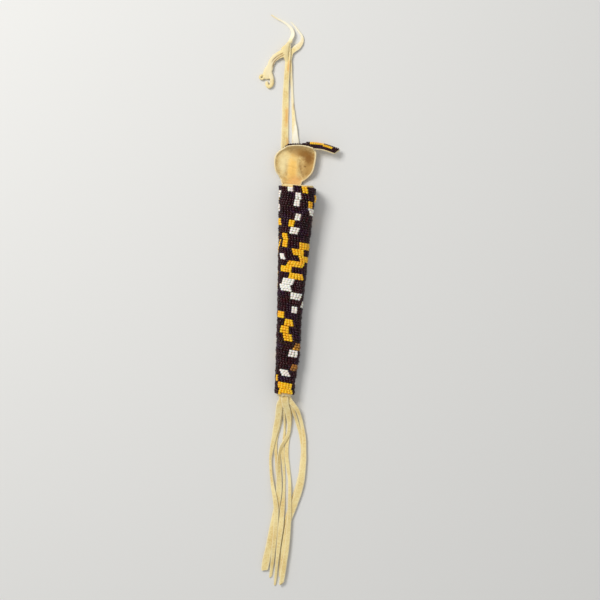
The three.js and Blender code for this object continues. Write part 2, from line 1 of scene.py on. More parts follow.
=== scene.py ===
"""A beaded hide awl case, lying on its back with its lid flap open.

The case is a slender tapered tube of tanned hide, wrapped from mouth to tip in one spiral lane of
glass beads. Its lid is a cupped flap of hide with beads on its outer face and a beaded tongue. Two
hanger thongs run up from the mouth to a knotted lace, and seven thongs hang from the tip.

Sizes are in millimetres. The case runs along Y with its mouth at +Y, and Z is up.
"""

import logging
import math
from collections.abc import Callable, Sequence
from dataclasses import dataclass, field
from enum import Enum

import bpy
import numpy as np
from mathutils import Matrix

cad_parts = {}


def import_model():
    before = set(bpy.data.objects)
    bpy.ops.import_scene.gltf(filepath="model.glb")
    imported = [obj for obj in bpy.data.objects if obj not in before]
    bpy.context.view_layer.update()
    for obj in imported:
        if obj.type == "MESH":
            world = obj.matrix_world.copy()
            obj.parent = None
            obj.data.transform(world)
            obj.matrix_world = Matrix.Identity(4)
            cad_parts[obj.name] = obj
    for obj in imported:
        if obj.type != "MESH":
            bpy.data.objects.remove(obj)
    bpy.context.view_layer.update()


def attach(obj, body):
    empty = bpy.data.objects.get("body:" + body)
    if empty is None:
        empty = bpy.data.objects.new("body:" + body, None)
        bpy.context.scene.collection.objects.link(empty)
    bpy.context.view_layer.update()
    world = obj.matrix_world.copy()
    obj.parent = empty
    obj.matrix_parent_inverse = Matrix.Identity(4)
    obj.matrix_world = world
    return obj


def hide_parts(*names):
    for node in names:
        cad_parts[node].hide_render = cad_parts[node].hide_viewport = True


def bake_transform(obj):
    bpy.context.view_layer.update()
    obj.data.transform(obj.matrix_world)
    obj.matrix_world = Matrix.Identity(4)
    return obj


MM = 0.001
Array = np.ndarray
Point = tuple[float, float, float]
Colour = tuple[float, float, float, float]
log = logging.getLogger("awl_case")

FINE_STEPS = 40  # Steps for each point of a route, before it is divided evenly
FEWEST_POINTS = 8
EDGE_FADE = (0.15, 0.9)  # Where the mark of a cut edge starts and stops to fade, in millimetres


class Tint(Enum):
    """The colours of the glass beads."""

    DARK = "dark"
    AMBER = "amber"
    WHITE = "white"


TINTS = tuple(Tint)
WHITE, AMBER = Tint.WHITE, Tint.AMBER


# Numbers and surfaces


def smoothstep(value: Array | float, low: float, high: float) -> Array:
    """Zero below low, one above high, and a smooth rise between them."""
    t = np.clip((np.asarray(value, float) - low) / (high - low), 0.0, 1.0)
    return t * t * (3.0 - 2.0 * t)


def unit(vectors: Array) -> Array:
    """The vectors, each divided by its own length."""
    return vectors / np.maximum(np.linalg.norm(vectors, axis=-1, keepdims=True), 1e-12)


def evenly_set(values: tuple[float, ...], share: Array) -> Array:
    """A value at a share of the way, where the values given are spread evenly along it."""
    return np.interp(share, np.linspace(0, 1, len(values)), values)


def spline_at(points: Array, t: Array) -> Array:
    """A uniform Catmull-Rom curve through the points.

    Each span is a cubic whose end slopes are half the step between the neighbours on either side.

    Args:
        points: The points that it passes through, one a row.
        t: Places from 0 to 1, spread evenly over the points.

    Returns:
        One point for each place.
    """
    last = len(points) - 1
    place = np.clip(t, 0.0, 1.0) * last
    i = np.minimum(place.astype(int), last - 1)
    w = (place - i)[..., None]
    before, here = points[np.maximum(i - 1, 0)], points[i]
    there, after = points[i + 1], points[np.minimum(i + 2, last)]
    slope_in, slope_out = (there - before) / 2, (after - here) / 2
    cubic = 2 * here - 2 * there + slope_in + slope_out
    square = -3 * here + 3 * there - 2 * slope_in - slope_out
    return ((cubic * w + square) * w + slope_in) * w + here


def run_along(points: Array) -> Array:
    """How far each point lies along a line through them all."""
    return np.r_[0, np.cumsum(np.linalg.norm(np.diff(points, axis=0), axis=1))]


def even_route(points: list[Point], step: float) -> Array:
    """Points at even steps along a smooth curve through a route.

    The curve is a cubic Hermite one over the length along the route, with slopes from the
    neighbouring points.

    Args:
        points: The route.
        step: The distance between the new points, in millimetres.

    Returns:
        The new points, one a row.
    """
    route = np.array(points, float)
    lengths = run_along(route)
    slopes = np.gradient(route, lengths, axis=0)
    places = np.linspace(0, lengths[-1], FINE_STEPS * len(route))
    i = np.clip(np.searchsorted(lengths, places, side="right") - 1, 0, len(route) - 2)
    span = (lengths[i + 1] - lengths[i])[:, None]
    t = (places - lengths[i])[:, None] / span
    fine = (
        (2 * t**3 - 3 * t**2 + 1) * route[i]
        + (t**3 - 2 * t**2 + t) * span * slopes[i]
        + (3 * t**2 - 2 * t**3) * route[i + 1]
        + (t**3 - t**2) * span * slopes[i + 1]
    )
    run = run_along(fine)
    even = np.linspace(0, run[-1], max(FEWEST_POINTS, round(run[-1] / step)))
    return np.stack([np.interp(even, run, fine[:, axis]) for axis in range(3)], axis=1)


def grid_quads(
    rows: int, columns: int, ring_rows: bool = False, ring_columns: bool = False
) -> Array:
    """The faces of a grid of points, counted row by row.

    Args:
        rows: The number of rows.
        columns: The number of points in a row.
        ring_rows: Whether the last row joins the first.
        ring_columns: Whether a row's last point joins its first.

    Returns:
        Four point numbers for each face.
    """
    i, j = np.meshgrid(
        np.arange(rows if ring_rows else rows - 1),
        np.arange(columns if ring_columns else columns - 1),
        indexing="ij",
    )
    below, right = (i + 1) % rows, (j + 1) % columns
    corners = [i * columns + j, below * columns + j, below * columns + right, i * columns + right]
    return np.stack(corners, axis=-1).reshape(-1, 4)


# Meshes


@dataclass
class Surface:
    """Points in millimetres, faces, and a number or two for each point."""

    points: Array
    faces: list[list[int]]
    values: dict[str, Array] = field(default_factory=dict)

    def joined(self, other: "Surface") -> "Surface":
        """Both surfaces as one.

        Args:
            other: The surface to add, which has the same named values.

        Returns:
            A surface with the faces of both.
        """
        shift = len(self.points)
        moved = [[corner + shift for corner in face] for face in other.faces]
        values = {name: np.r_[self.values[name], other.values[name]] for name in self.values}
        return Surface(np.r_[self.points, other.points], self.faces + moved, values)


def make_piece(name: str, surface: Surface) -> bpy.types.Object:
    """Makes a smooth-shaded mesh object at the origin.

    Args:
        name: The piece's name.
        surface: Its shape, in millimetres.

    Returns:
        The new object, linked to the scene.
    """
    mesh = bpy.data.meshes.new(name)
    mesh.from_pydata((surface.points * MM).tolist(), [], surface.faces)
    for key, values in surface.values.items():
        attribute = mesh.attributes.new(key, "FLOAT", "POINT")
        attribute.data.foreach_set("value", np.ascontiguousarray(values, np.float32))
    mesh.polygons.foreach_set("use_smooth", np.ones(len(mesh.polygons), bool))
    mesh.validate()
    mesh.update()
    piece = bpy.data.objects.new(name, mesh)
    bpy.context.scene.collection.objects.link(piece)
    log.info("%s: %d points, %d faces", name, len(mesh.vertices), len(mesh.polygons))
    return piece


def closed_sheet(middle: Array, thickness: Array | float, round_edge: float = 0.4) -> Surface:
    """A sheet with two faces and a rounded edge, from the grid of its middle surface.

    Each face lies half the thickness along the surface's normal, and the edge bulges outwards by
    a share of the thickness.

    Args:
        middle: The grid of points, rows by columns by 3. Its rows cross its columns so that
            column step cross row step points up.
        thickness: The sheet's thickness, one number or one for each point.
        round_edge: How far the edge bulges, as a share of the thickness.

    Returns:
        A closed surface whose value "edge" is 1 at its cut edge and 0 from 0.9 mm inside it.
    """
    rows, columns, _ = middle.shape
    along, across = np.gradient(middle, axis=0), np.gradient(middle, axis=1)
    normal = unit(np.cross(across, along))
    half = np.broadcast_to(np.asarray(thickness, float), (rows, columns))[..., None] / 2
    upper, lower = middle + normal * half, middle - normal * half
    index = np.arange(rows * columns).reshape(rows, columns)
    loop = np.r_[index[0, :-1], index[:-1, -1], index[-1, :0:-1], index[:0:-1, 0]]
    rim, rim_normal = middle.reshape(-1, 3)[loop], normal.reshape(-1, 3)[loop]
    forward = np.roll(rim, -1, axis=0) - np.roll(rim, 1, axis=0)
    outward = unit(np.cross(forward, rim_normal))
    outward *= np.sign(np.sum(outward * (rim - rim.mean(axis=0))))
    bulge = rim + outward * half.reshape(-1, 1)[loop] * 2 * round_edge
    sheet = rows * columns
    quads = grid_quads(rows, columns)
    ring = 2 * sheet + np.arange(len(loop))
    next_loop, next_ring = np.roll(loop, -1), np.roll(ring, -1)
    faces = np.concatenate([
        quads[:, ::-1],
        quads + sheet,
        np.stack([loop, next_loop, next_ring, ring], axis=1)[:, ::-1],
        np.stack([ring, next_ring, next_loop + sheet, loop + sheet], axis=1)[:, ::-1],
    ])
    flat = middle.reshape(-1, 3)
    gap = np.linalg.norm(flat[:, None, :] - rim[None, ::2, :], axis=2).min(axis=1)
    edge = 1 - smoothstep(gap, *EDGE_FADE)
    values = {"edge": np.r_[edge, edge, np.ones(len(loop))]}
    return Surface(np.r_[upper.reshape(-1, 3), lower.reshape(-1, 3), bulge], faces.tolist(), values)


@dataclass
class Strip:
    """A strip of hide along a route, with its widths, thicknesses and turns at even steps.

    Its edges stand above its middle by the cup. It is cut at a slant, its width wanders by a share,
    and it stays above the floor by the clearance.
    """

    route: list[Point]
    widths: tuple[float, ...]
    thicknesses: tuple[float, ...] = (0.8, 0.8)
    rolls: tuple[float, ...] = (0.0, 0.0)
    cup: float = 0.12
    slant: float = 0.0
    wander: float = 0.05
    seed: int = 1
    step: float = 0.7
    around: int = 14
    clearance: float = 0.02
    corner_powers: tuple[float, float] = (0.55, 0.6)
    wave_rates: tuple[float, float] = (10, 76)
    waves: int = 5
    end_share: float = 0.6

    def line(self) -> Array:
        """The strip's middle line, at even steps."""
        return even_route(self.route, self.step)

    def outline(self) -> tuple[Array, Array]:
        """The strip's closed section, across its width and through its thickness.

        The section is a superellipse, nearly a rectangle with rounded corners.
        """
        angle = np.linspace(0, 2 * math.pi, self.around, endpoint=False)
        (cos, sin), (wide, tall) = (np.cos(angle), np.sin(angle)), self.corner_powers
        return np.sign(cos) * np.abs(cos) ** wide, np.sign(sin) * np.abs(sin) ** tall

    def surface(self) -> Surface:
        """The closed strip.

        Its section is cupped by a parabola and carried along the line with its width level, then
        turned about the line by the rolls. A section that would dip below the floor is lifted
        clear of it. Its width wanders by a sum of sines, its ends are cut at a slant, and both
        close over a smaller ring.

        Returns:
            A surface whose value "edge" is 1 at its two long edges.
        """
        line = self.line()
        share = np.linspace(0, 1, len(line))
        random = np.random.default_rng(self.seed)
        rates = random.uniform(*self.wave_rates, self.waves)
        phases = random.uniform(0, 2 * math.pi, self.waves)
        wobble = 1.8 * np.sin(share[:, None] * rates + phases).mean(axis=1)
        width = evenly_set(self.widths, share) * (1 + self.wander * wobble)
        thickness = evenly_set(self.thicknesses, share)
        roll = np.radians(evenly_set(self.rolls, share))
        ends = np.ones(len(line))
        ends[[0, -1]] = self.end_share
        tangent = unit(np.gradient(line, axis=0))
        side = unit(np.cross(tangent, [0.0, 0.0, 1.0]))
        normal = np.cross(side, tangent)
        cos, sin = np.cos(roll)[:, None], np.sin(roll)[:, None]
        side, normal = side * cos + normal * sin, normal * cos - side * sin
        across, up = self.outline()
        x = (width * (0.4 + 0.6 * ends) / 2)[:, None] * across
        y = (thickness * ends / 2)[:, None] * up + self.cup * (across**2 - 0.5)
        skew = (self.slant * smoothstep(share, 0.95, 1.0))[:, None] * across
        points = (
            line[:, None, :]
            + x[..., None] * side[:, None, :]
            + y[..., None] * normal[:, None, :]
            + skew[..., None] * tangent[:, None, :]
        )
        points[..., 2] += np.maximum(self.clearance - points[..., 2].min(axis=1), 0)[:, None]
        count = len(line) * self.around
        ring = np.arange(self.around)
        after, start = np.roll(ring, -1), count - self.around
        faces = grid_quads(len(line), self.around, ring_columns=True).tolist()
        faces += np.stack([np.full_like(ring, count), after, ring], axis=1).tolist()
        end = np.full_like(ring, count + 1)
        faces += np.stack([end, start + ring, start + after], axis=1).tolist()
        edge = np.tile(np.abs(across) ** 6, (len(line), 1)).ravel()
        caps = np.stack([line[0], line[-1]])
        return Surface(np.r_[points.reshape(-1, 3), caps], faces, {"edge": np.r_[edge, 1, 1]})


# Shader trees


def colour(red: float, green: float, blue: float) -> Colour:
    """An sRGB colour, from 0 to 255, in the linear numbers that shaders use."""
    shares = np.array([red, green, blue]) / 255
    linear = np.where(shares <= 0.04045, shares / 12.92, ((shares + 0.055) / 1.055) ** 2.4)
    return (*linear.tolist(), 1.0)


class Value:
    """A shader socket on which Python's operators work, each adding a Math node."""

    def __init__(self, shader: "Shader", socket: bpy.types.NodeSocket) -> None:
        """Wraps one output socket of a shader's tree."""
        self.shader, self.socket = shader, socket

    def math(self, operation: str, *others: "Value | float", first: bool = True) -> "Value":
        """One Math node.

        Args:
            operation: The name of the operation.
            others: The other operands.
            first: Whether this value is the first operand.

        Returns:
            The node's result.
        """
        operands = [self, *others] if first else [*others, self]
        settings = {"operation": operation}
        return self.shader.node("ShaderNodeMath", settings, dict(enumerate(operands)))

    def __add__(self, other: "Value | float") -> "Value":
        """Sum."""
        return self.math("ADD", other)

    __radd__ = __add__

    def __sub__(self, other: "Value | float") -> "Value":
        """Difference."""
        return self.math("SUBTRACT", other)

    def __rsub__(self, other: float) -> "Value":
        """Difference, with this value second."""
        return self.math("SUBTRACT", other, first=False)

    def __mul__(self, other: "Value | float") -> "Value":
        """Product."""
        return self.math("MULTIPLY", other)

    __rmul__ = __mul__

    def clamped(self) -> "Value":
        """The value kept between 0 and 1."""
        return self.shader.node("ShaderNodeClamp", {}, {0: self})

    def over(self, low: float, high: float) -> "Value":
        """Zero below low, one above high, and a smooth rise between them."""
        settings = {"interpolation_type": "SMOOTHSTEP"}
        return self.shader.node("ShaderNodeMapRange", settings, {0: self, 1: low, 2: high})


class Shader:
    """A material's node tree with its Principled shader."""

    def __init__(self, name: str) -> None:
        """Starts a material whose tree holds only the Principled shader and the output."""
        self.material = bpy.data.materials.new(name)
        self.material.use_nodes = True
        self.nodes, self.links = self.material.node_tree.nodes, self.material.node_tree.links
        self.nodes.clear()
        output = self.nodes.new("ShaderNodeOutputMaterial")
        self.principled = self.nodes.new("ShaderNodeBsdfPrincipled")
        self.links.new(self.principled.outputs[0], output.inputs[0])
        self.place = self.node("ShaderNodeTexCoord", {}, {}, output="Object")

    def node(self, kind: str, settings: dict, inputs: dict, output: int | str = 0) -> Value:
        """Adds any node.

        Args:
            kind: The node's type name.
            settings: Its properties, set before its inputs.
            inputs: Values or links of its sockets, by number or name.
            output: The output socket to return.

        Returns:
            The chosen output.
        """
        made = self.nodes.new(kind)
        for key, value in settings.items():
            setattr(made, key, value)
        for key, value in inputs.items():
            self.feed(made.inputs[key], value)
        return Value(self, made.outputs[output])

    def feed(self, socket: bpy.types.NodeSocket, value: Value | float | Colour) -> None:
        """Links a value to a socket, or sets a plain number or colour on it."""
        if isinstance(value, Value):
            self.links.new(value.socket, socket)
        else:
            socket.default_value = value

    def noise(
        self, per_mm: float, detail: float = 3, rough: float = 0.55, place: Value | None = None
    ) -> Value:
        """Smooth noise with a number of features a millimetre, about 0.5 on average."""
        size = {"Scale": per_mm / MM, "Detail": detail, "Roughness": rough}
        return self.node("ShaderNodeTexNoise", {}, {"Vector": place or self.place, **size})

    def vector(
        self, operation: str, first: Value, second: Point = (0.0, 0.0, 0.0), output: int | str = 0
    ) -> Value:
        """One Vector Math node on a value and a plain vector."""
        inputs = {0: first, 1: second}
        return self.node("ShaderNodeVectorMath", {"operation": operation}, inputs, output)

    def stretched(self, factors: Point) -> Value:
        """Object coordinates, stretched by a factor along each axis."""
        return self.vector("MULTIPLY", self.place, factors)

    def near(self, centre: Point, reach: Point, wander: Value) -> Value:
        """One at a place in millimetres, falling to zero at the reach, with a wandering border."""
        offset = self.vector("SUBTRACT", self.place, tuple(c * MM for c in centre))
        scaled = self.vector("MULTIPLY", offset, tuple(1 / (r * MM) for r in reach))
        away = self.vector("LENGTH", scaled, output="Value")
        return (1.0 - away + (wander - 0.5) * 0.9).over(0.0, 0.75)

    def attribute(self, name: str) -> Value:
        """A number that the mesh holds for each point."""
        return self.node("ShaderNodeAttribute", {"attribute_name": name}, {}, output="Fac")

    def mix(self, share: Value | float, first: Value | Colour, second: Value | Colour) -> Value:
        """The first colour where share is 0 and the second where it is 1."""
        inputs = {0: share, 6: first, 7: second}
        return self.node("ShaderNodeMix", {"data_type": "RGBA"}, inputs, output=2)

    def bump(self, height: Value, depth_mm: float, under: Value | None = None) -> Value:
        """A bumped normal for a height from 0 to 1 and the depth that it stands for."""
        sockets = {"Height": height, "Distance": depth_mm * MM, "Strength": 1.0}
        if under:
            sockets["Normal"] = under
        return self.node("ShaderNodeBump", {}, sockets)

    def finish(self, **sockets: "Value | float | Colour") -> bpy.types.Material:
        """Sets or links the Principled shader's sockets.

        Args:
            sockets: Values by socket name, with underscores for spaces.

        Returns:
            The finished material.
        """
        for name, value in sockets.items():
            self.feed(self.principled.inputs[name.replace("_", " ")], value)
        return self.material


@dataclass(frozen=True)
class StainAndShade:
    """A patch of another colour on hide, for stains and painted shade: its middle, reach, colour and
    strength.
    """

    middle: Point
    reach: Point
    tone: Colour
    strength: float


@dataclass(frozen=True)
class HideFinish:
    """Tanned hide: a mottled suede with fibres, cut edges and stains, with painted shade in patches
    and folds.

    Its tone wanders to the deep one, its cut edges have a tone of their own, the fold tone is
    painted shade where the value "crease" marks a crease or fold, the fibre factors stretch its
    grain, and the relief is the depth of the grain in millimetres.
    """

    name: str
    tone: Colour
    deep: Colour
    cut: Colour
    # Painted shade: the tone that darkens creases and folds.
    fold: Colour
    stains_and_shade: tuple[StainAndShade, ...]
    fibre: Point = (1.0, 1.0, 1.0)
    relief: float = 0.17

    def make(self) -> bpy.types.Material:
        """Builds the material.

        Returns:
            Hide whose colour wanders between its tone and its deep tone, with stains and patches of
            painted shade, painted shade in its creases and folds, paler cut edges, and a bump of
            fibres and pores.
        """
        shader = Shader(self.name)
        patches = shader.noise(0.09, 4, 0.6)
        specks = shader.noise(0.9, 3, 0.6)
        wander = shader.noise(0.3, 6, 0.72)
        tone = shader.mix((patches * 0.55 + specks * 0.45).over(0.38, 0.66), self.tone, self.deep)
        # Stains, and patches of painted shade inside the lid.
        for colour_patch in self.stains_and_shade:
            reach = shader.near(colour_patch.middle, colour_patch.reach, wander) * colour_patch.strength
            tone = shader.mix(reach, tone, colour_patch.tone)
        # Painted shade in the creases and folds, where the value "crease" marks them.
        tone = shader.mix(shader.attribute("crease") * (0.2 + specks * 0.9), tone, self.fold)
        edge = (shader.attribute("edge") * (0.55 + specks * 0.6)).clamped()
        tone = shader.mix(edge, tone, self.cut)
        fibres = shader.noise(3.2, 5, 0.65, shader.stretched(self.fibre))
        pores = shader.noise(1.1, 2, 0.5)
        bumped = shader.bump(fibres * 0.7 + pores * 0.5, self.relief)
        return shader.finish(
            Base_Color=tone,
            Roughness=0.72 + fibres * 0.2,
            Normal=bumped,
            Specular_IOR_Level=0.25,
            Sheen_Weight=0.25,
            Sheen_Roughness=0.5,
            Sheen_Tint=self.cut,
        )


@dataclass(frozen=True)
class BeadFinish:
    """Glass beads, each with its own shade.

    A bead lies between the tone and the other one, nears the third in patches of the wrap, and is
    the dull one where its shade is above one. Gloss is its least roughness and shine its specular
    level, drift says how strongly the third tone shows, and glow is how much light passes through.
    """

    name: str
    tone: Colour
    other: Colour
    third: Colour
    dull: Colour
    gloss: float
    shine: float = 0.5
    drift: float = 0.8
    glow: float = 0.0

    def make(self) -> bpy.types.Material:
        """Builds the material.

        Returns:
            Glass whose shade changes from bead to bead, with faint streaks in it.
        """
        shader = Shader(self.name)
        shade = shader.attribute("shade")
        streaks = shader.noise(1.6, 2, 0.5)
        patches = shader.noise(0.11, 2, 0.5).over(0.5, 0.6)
        tone = shader.mix((shade * 0.8 + streaks * 0.3).clamped(), self.tone, self.other)
        tone = shader.mix((patches * shade * self.drift).clamped(), tone, self.third)
        tone = shader.mix(((shade - 1.0) * (0.4 + streaks * 0.6)).clamped(), tone, self.dull)
        return shader.finish(
            Base_Color=tone,
            Roughness=self.gloss + streaks * 0.12,
            Specular_IOR_Level=self.shine,
            Subsurface_Weight=self.glow,
            Subsurface_Radius=(0.8 * MM, 0.5 * MM, 0.3 * MM),
            Subsurface_Scale=1.0,
        )


@dataclass(frozen=True)
class SinewFinish:
    """Sewing thread of sinew: pale brown and slightly glossy."""

    name: str = "sinew"
    tone: Colour = colour(150, 118, 80)
    deep: Colour = colour(86, 62, 40)

    def make(self) -> bpy.types.Material:
        """Builds the material, streaked along its length."""
        shader = Shader(self.name)
        streaks = shader.noise(1.5, 3, 0.6)
        return shader.finish(
            Base_Color=shader.mix(streaks.over(0.35, 0.65), self.tone, self.deep),
            Roughness=0.55,
        )


def dress(piece: bpy.types.Object, material: bpy.types.Material) -> None:
    """Gives a piece its material."""
    piece.data.materials.clear()
    piece.data.materials.append(material)


# The case


@dataclass
class CaseForm:
    """The tapered form that the tube and the beads follow: the crests of the wrap."""

    length: float = 145.0
    mouth_width: float = 26.2
    mouth_depth: float = 22.0
    tip_width: float = 14.2
    tip_depth: float = 12.4
    taper_power: float = 1.35
    front_roundness: float = 2.1
    back_roundness: float = 2.9
    rest_flat: float = 0.2

    def point(self, y: Array, angle: Array, inset: Array | float) -> Array:
        """Points of the form.

        A section is a superellipse whose width and depth narrow from mouth to tip by a power of
        the distance, and whose power grows from the round front to the flatter back.

        Args:
            y: Places along the case.
            angle: Angles round it, from +X towards +Z.
            inset: The distance in from the crest of the beads.

        Returns:
            One point for each place.
        """
        y, angle = np.broadcast_arrays(np.asarray(y, float), np.asarray(angle, float))
        share = (1 - np.clip((self.length / 2 - y) / self.length, -0.1, 1.0)) ** self.taper_power
        width = (self.tip_width + (self.mouth_width - self.tip_width) * share) / 2
        depth = (self.tip_depth + (self.mouth_depth - self.tip_depth) * share) / 2
        back = (1 - np.sin(angle)) / 2
        power = self.front_roundness + (self.back_roundness - self.front_roundness) * back
        across = np.abs(np.cos(angle) / (width - inset)) ** power
        through = np.abs(np.sin(angle) / (depth - inset)) ** power
        radius = (across + through) ** (-1 / power)
        z = depth - self.rest_flat + radius * np.sin(angle)
        return np.stack([radius * np.cos(angle), y, z], axis=-1)

    def half_width(self, y: Array) -> Array:
        """Half the form's width at each place along it."""
        return self.point(y, np.zeros_like(y), 0.0)[..., 0]


@dataclass
class HideTube:
    """The tube of tanned hide under the beads."""

    form: CaseForm
    outside: float = 2.0
    thickness: float = 1.0
    rim: float = 73.2
    tip_shown: float = 1.2
    rounding: float = 0.3
    rows: int = 60
    around: int = 72

    def build(self, hide: bpy.types.Material) -> bpy.types.Object:
        """Builds the tube as a closed wall.

        Rings run up the outside, over a rounded rim whose cut wanders a little, down the inside
        and round the tip's edge back to the first.

        Args:
            hide: Its material.

        Returns:
            The tube.
        """
        inside, middle = self.outside + self.thickness, self.outside + self.thickness / 2
        tip = -self.form.length / 2 - self.tip_shown
        up = np.linspace(tip + self.rounding, self.rim - self.rounding, self.rows)
        turn = self.rim - self.rounding / 3
        y = np.r_[up, turn, self.rim, turn, up[::-1], tip]
        step = 0.12
        inset = np.r_[
            np.full(self.rows, self.outside), self.outside + step, middle, inside - step,
            np.full(self.rows, inside), middle,
        ]
        angle = np.linspace(0, 2 * math.pi, self.around, endpoint=False)
        cut = 0.12 * np.sin(3 * angle + 0.6) + 0.06 * np.sin(8 * angle)
        near_rim = smoothstep(y, self.rim - 3, self.rim)[:, None]
        near_tip = 1 - smoothstep(y, tip, tip + 2)[:, None]
        frayed = 0.3 * np.sin(5 * angle + 1) + 0.2 * np.sin(9 * angle)
        places = y[:, None] + near_rim * cut + near_tip * frayed
        points = self.form.point(places, angle[None, :], inset[:, None] + 0.25 * near_tip)
        edge = np.repeat(((y > self.rim - 0.2) | (y < tip + 0.4)).astype(float), self.around)
        faces = grid_quads(len(y), self.around, True, True).tolist()
        tube = make_piece("hide_tube_wall", Surface(points.reshape(-1, 3), faces, {"edge": edge}))
        dress(tube, hide)
        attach(tube, "case")
        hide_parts("hide_tube")
        return tube


@dataclass(frozen=True)
class Block:
    """A patch of one colour in the beadwork: its lane, and its ends across the front.

    Lanes count from the mouth, and the ends are shares of the case's half width. A dull block has
    dim brown beads.
    """

    lane: int
    left: float
    right: float
    tint: Tint
    dull: bool = False


FRONT_BLOCKS = [
    Block(0, -0.56, -0.23, WHITE), Block(0, 0.31, 0.58, AMBER),
    Block(1, -1.1, -0.93, WHITE), Block(1, -0.12, 0.20, WHITE), Block(1, 0.95, 1.1, AMBER),
    Block(2, -0.16, 0.14, WHITE), Block(2, 0.65, 0.95, AMBER),
    Block(3, -1.0, -0.92, WHITE), Block(3, 0.74, 1.0, WHITE),
    Block(4, 0.02, 0.38, WHITE),
    Block(5, -1.0, -0.91, AMBER), Block(5, -0.36, -0.02, AMBER),
    Block(6, -0.20, 0.34, WHITE),
    Block(7, -0.74, -0.42, AMBER),
    Block(8, -0.98, -0.86, AMBER), Block(8, -0.68, -0.36, AMBER), Block(8, 0.33, 1.0, AMBER),
    Block(9, -0.09, 0.68, AMBER),
    Block(10, -0.95, -0.56, WHITE), Block(10, 0.47, 1.0, AMBER),
    Block(11, -0.31, 0.84, AMBER),
    Block(12, -0.80, 0.02, AMBER),
    Block(13, -0.13, 0.90, AMBER),
    Block(14, -0.80, 0.08, WHITE),
    Block(15, -0.82, -0.12, WHITE),
    Block(16, -0.02, 0.80, WHITE),
    Block(17, 0.93, 1.07, WHITE),
    Block(18, 0.10, 0.57, WHITE),
    Block(19, -0.98, -0.52, AMBER),
    Block(20, -0.42, 0.32, AMBER),
    Block(21, -0.62, 0.10, AMBER),
    Block(22, -0.48, 0.27, AMBER),
    Block(23, 0.66, 1.19, AMBER, dull=True),
    Block(24, 0.30, 0.90, WHITE),
    Block(26, 0.52, 1.11, AMBER, dull=True),
    Block(27, -0.50, 0.30, WHITE),
    Block(28, -0.98, -0.76, AMBER),
    Block(29, -0.70, 0.70, AMBER),
    Block(30, -0.70, 0.75, AMBER),
]


@dataclass
class LaidBeads:
    """Beads on a surface: their centres, three directions and shades.

    A bead's axis runs along, and the directions across and out carry its size.
    """

    centres: Array
    across: Array
    along: Array
    out: Array
    shade: Array

    def chosen(self, mask: Array) -> "LaidBeads":
        """The beads where a mask is true."""
        parts = (self.centres, self.across, self.along, self.out, self.shade)
        return LaidBeads(*(part[mask] for part in parts))


@dataclass(frozen=True)
class Bead:
    """The form of one glass bead, drilled along its axis.

    Its profile holds shares of the radius and of the length, and the holes are dimples whose
    bottoms lie at a share of the length from the middle.
    """

    radius: float
    length: float
    sides: int = 8
    profile: tuple[tuple[float, float], ...] = (
        (0.42, 0.48), (0.86, 0.45), (1.0, 0.26), (1.0, -0.26), (0.86, -0.45), (0.42, -0.48),
    )
    dimple: float = 0.3

    def stamp(self, laid: LaidBeads) -> Surface:
        """Copies the bead to many places.

        The bead is its profile turned about its axis, closed at each end by a fan of triangles
        to the bottom of the dimple.

        Args:
            laid: The beads' places.

        Returns:
            One surface with all the beads.
        """
        profile = np.array(self.profile)
        angle = np.linspace(0, 2 * math.pi, self.sides, endpoint=False)
        ring = np.stack(
            [
                profile[:, None, 0] * np.cos(angle) * self.radius,
                np.repeat(profile[:, 1:] * self.length, self.sides, axis=1),
                profile[:, None, 0] * np.sin(angle) * self.radius,
            ],
            axis=-1,
        ).reshape(-1, 3)
        pole = self.dimple * self.length
        local = np.r_[ring, [(0, pole, 0), (0, -pole, 0)]]
        basis = np.stack([laid.across, laid.along, laid.out], axis=1)
        points = laid.centres[:, None, :] + np.einsum("vk,bkc->bvc", local, basis)
        quads = grid_quads(len(profile), self.sides, ring_columns=True)[:, ::-1]
        spot = np.arange(self.sides)
        after = np.roll(spot, -1)
        first, last = len(ring), len(ring) + 1
        low = len(ring) - self.sides
        top = np.stack([np.full_like(spot, first), after, spot], axis=1)
        bottom = np.stack([np.full_like(spot, last), low + spot, low + after], axis=1)
        shift = (np.arange(len(laid.centres)) * len(local))[:, None, None]
        faces = (quads[None] + shift).reshape(-1, 4).tolist()
        faces += (np.concatenate([top, bottom])[None] + shift).reshape(-1, 3).tolist()
        return Surface(points.reshape(-1, 3), faces, {"shade": np.repeat(laid.shade, len(local))})


@dataclass(frozen=True)
class Stray:
    """How far hand-strung beads stray from their places: the spreads of normal draws."""

    along: float = 0.05
    lean: float = 0.06
    around: float = 0.05
    out: float = 0.04
    tilt: float = 0.09
    size: float = 0.035
    shade: float = 0.28


@dataclass(frozen=True)
class Loosening:
    """A place at the right side where the lane stands off: its turn, how many turns, how high."""

    turn: float
    reach: float
    height: float


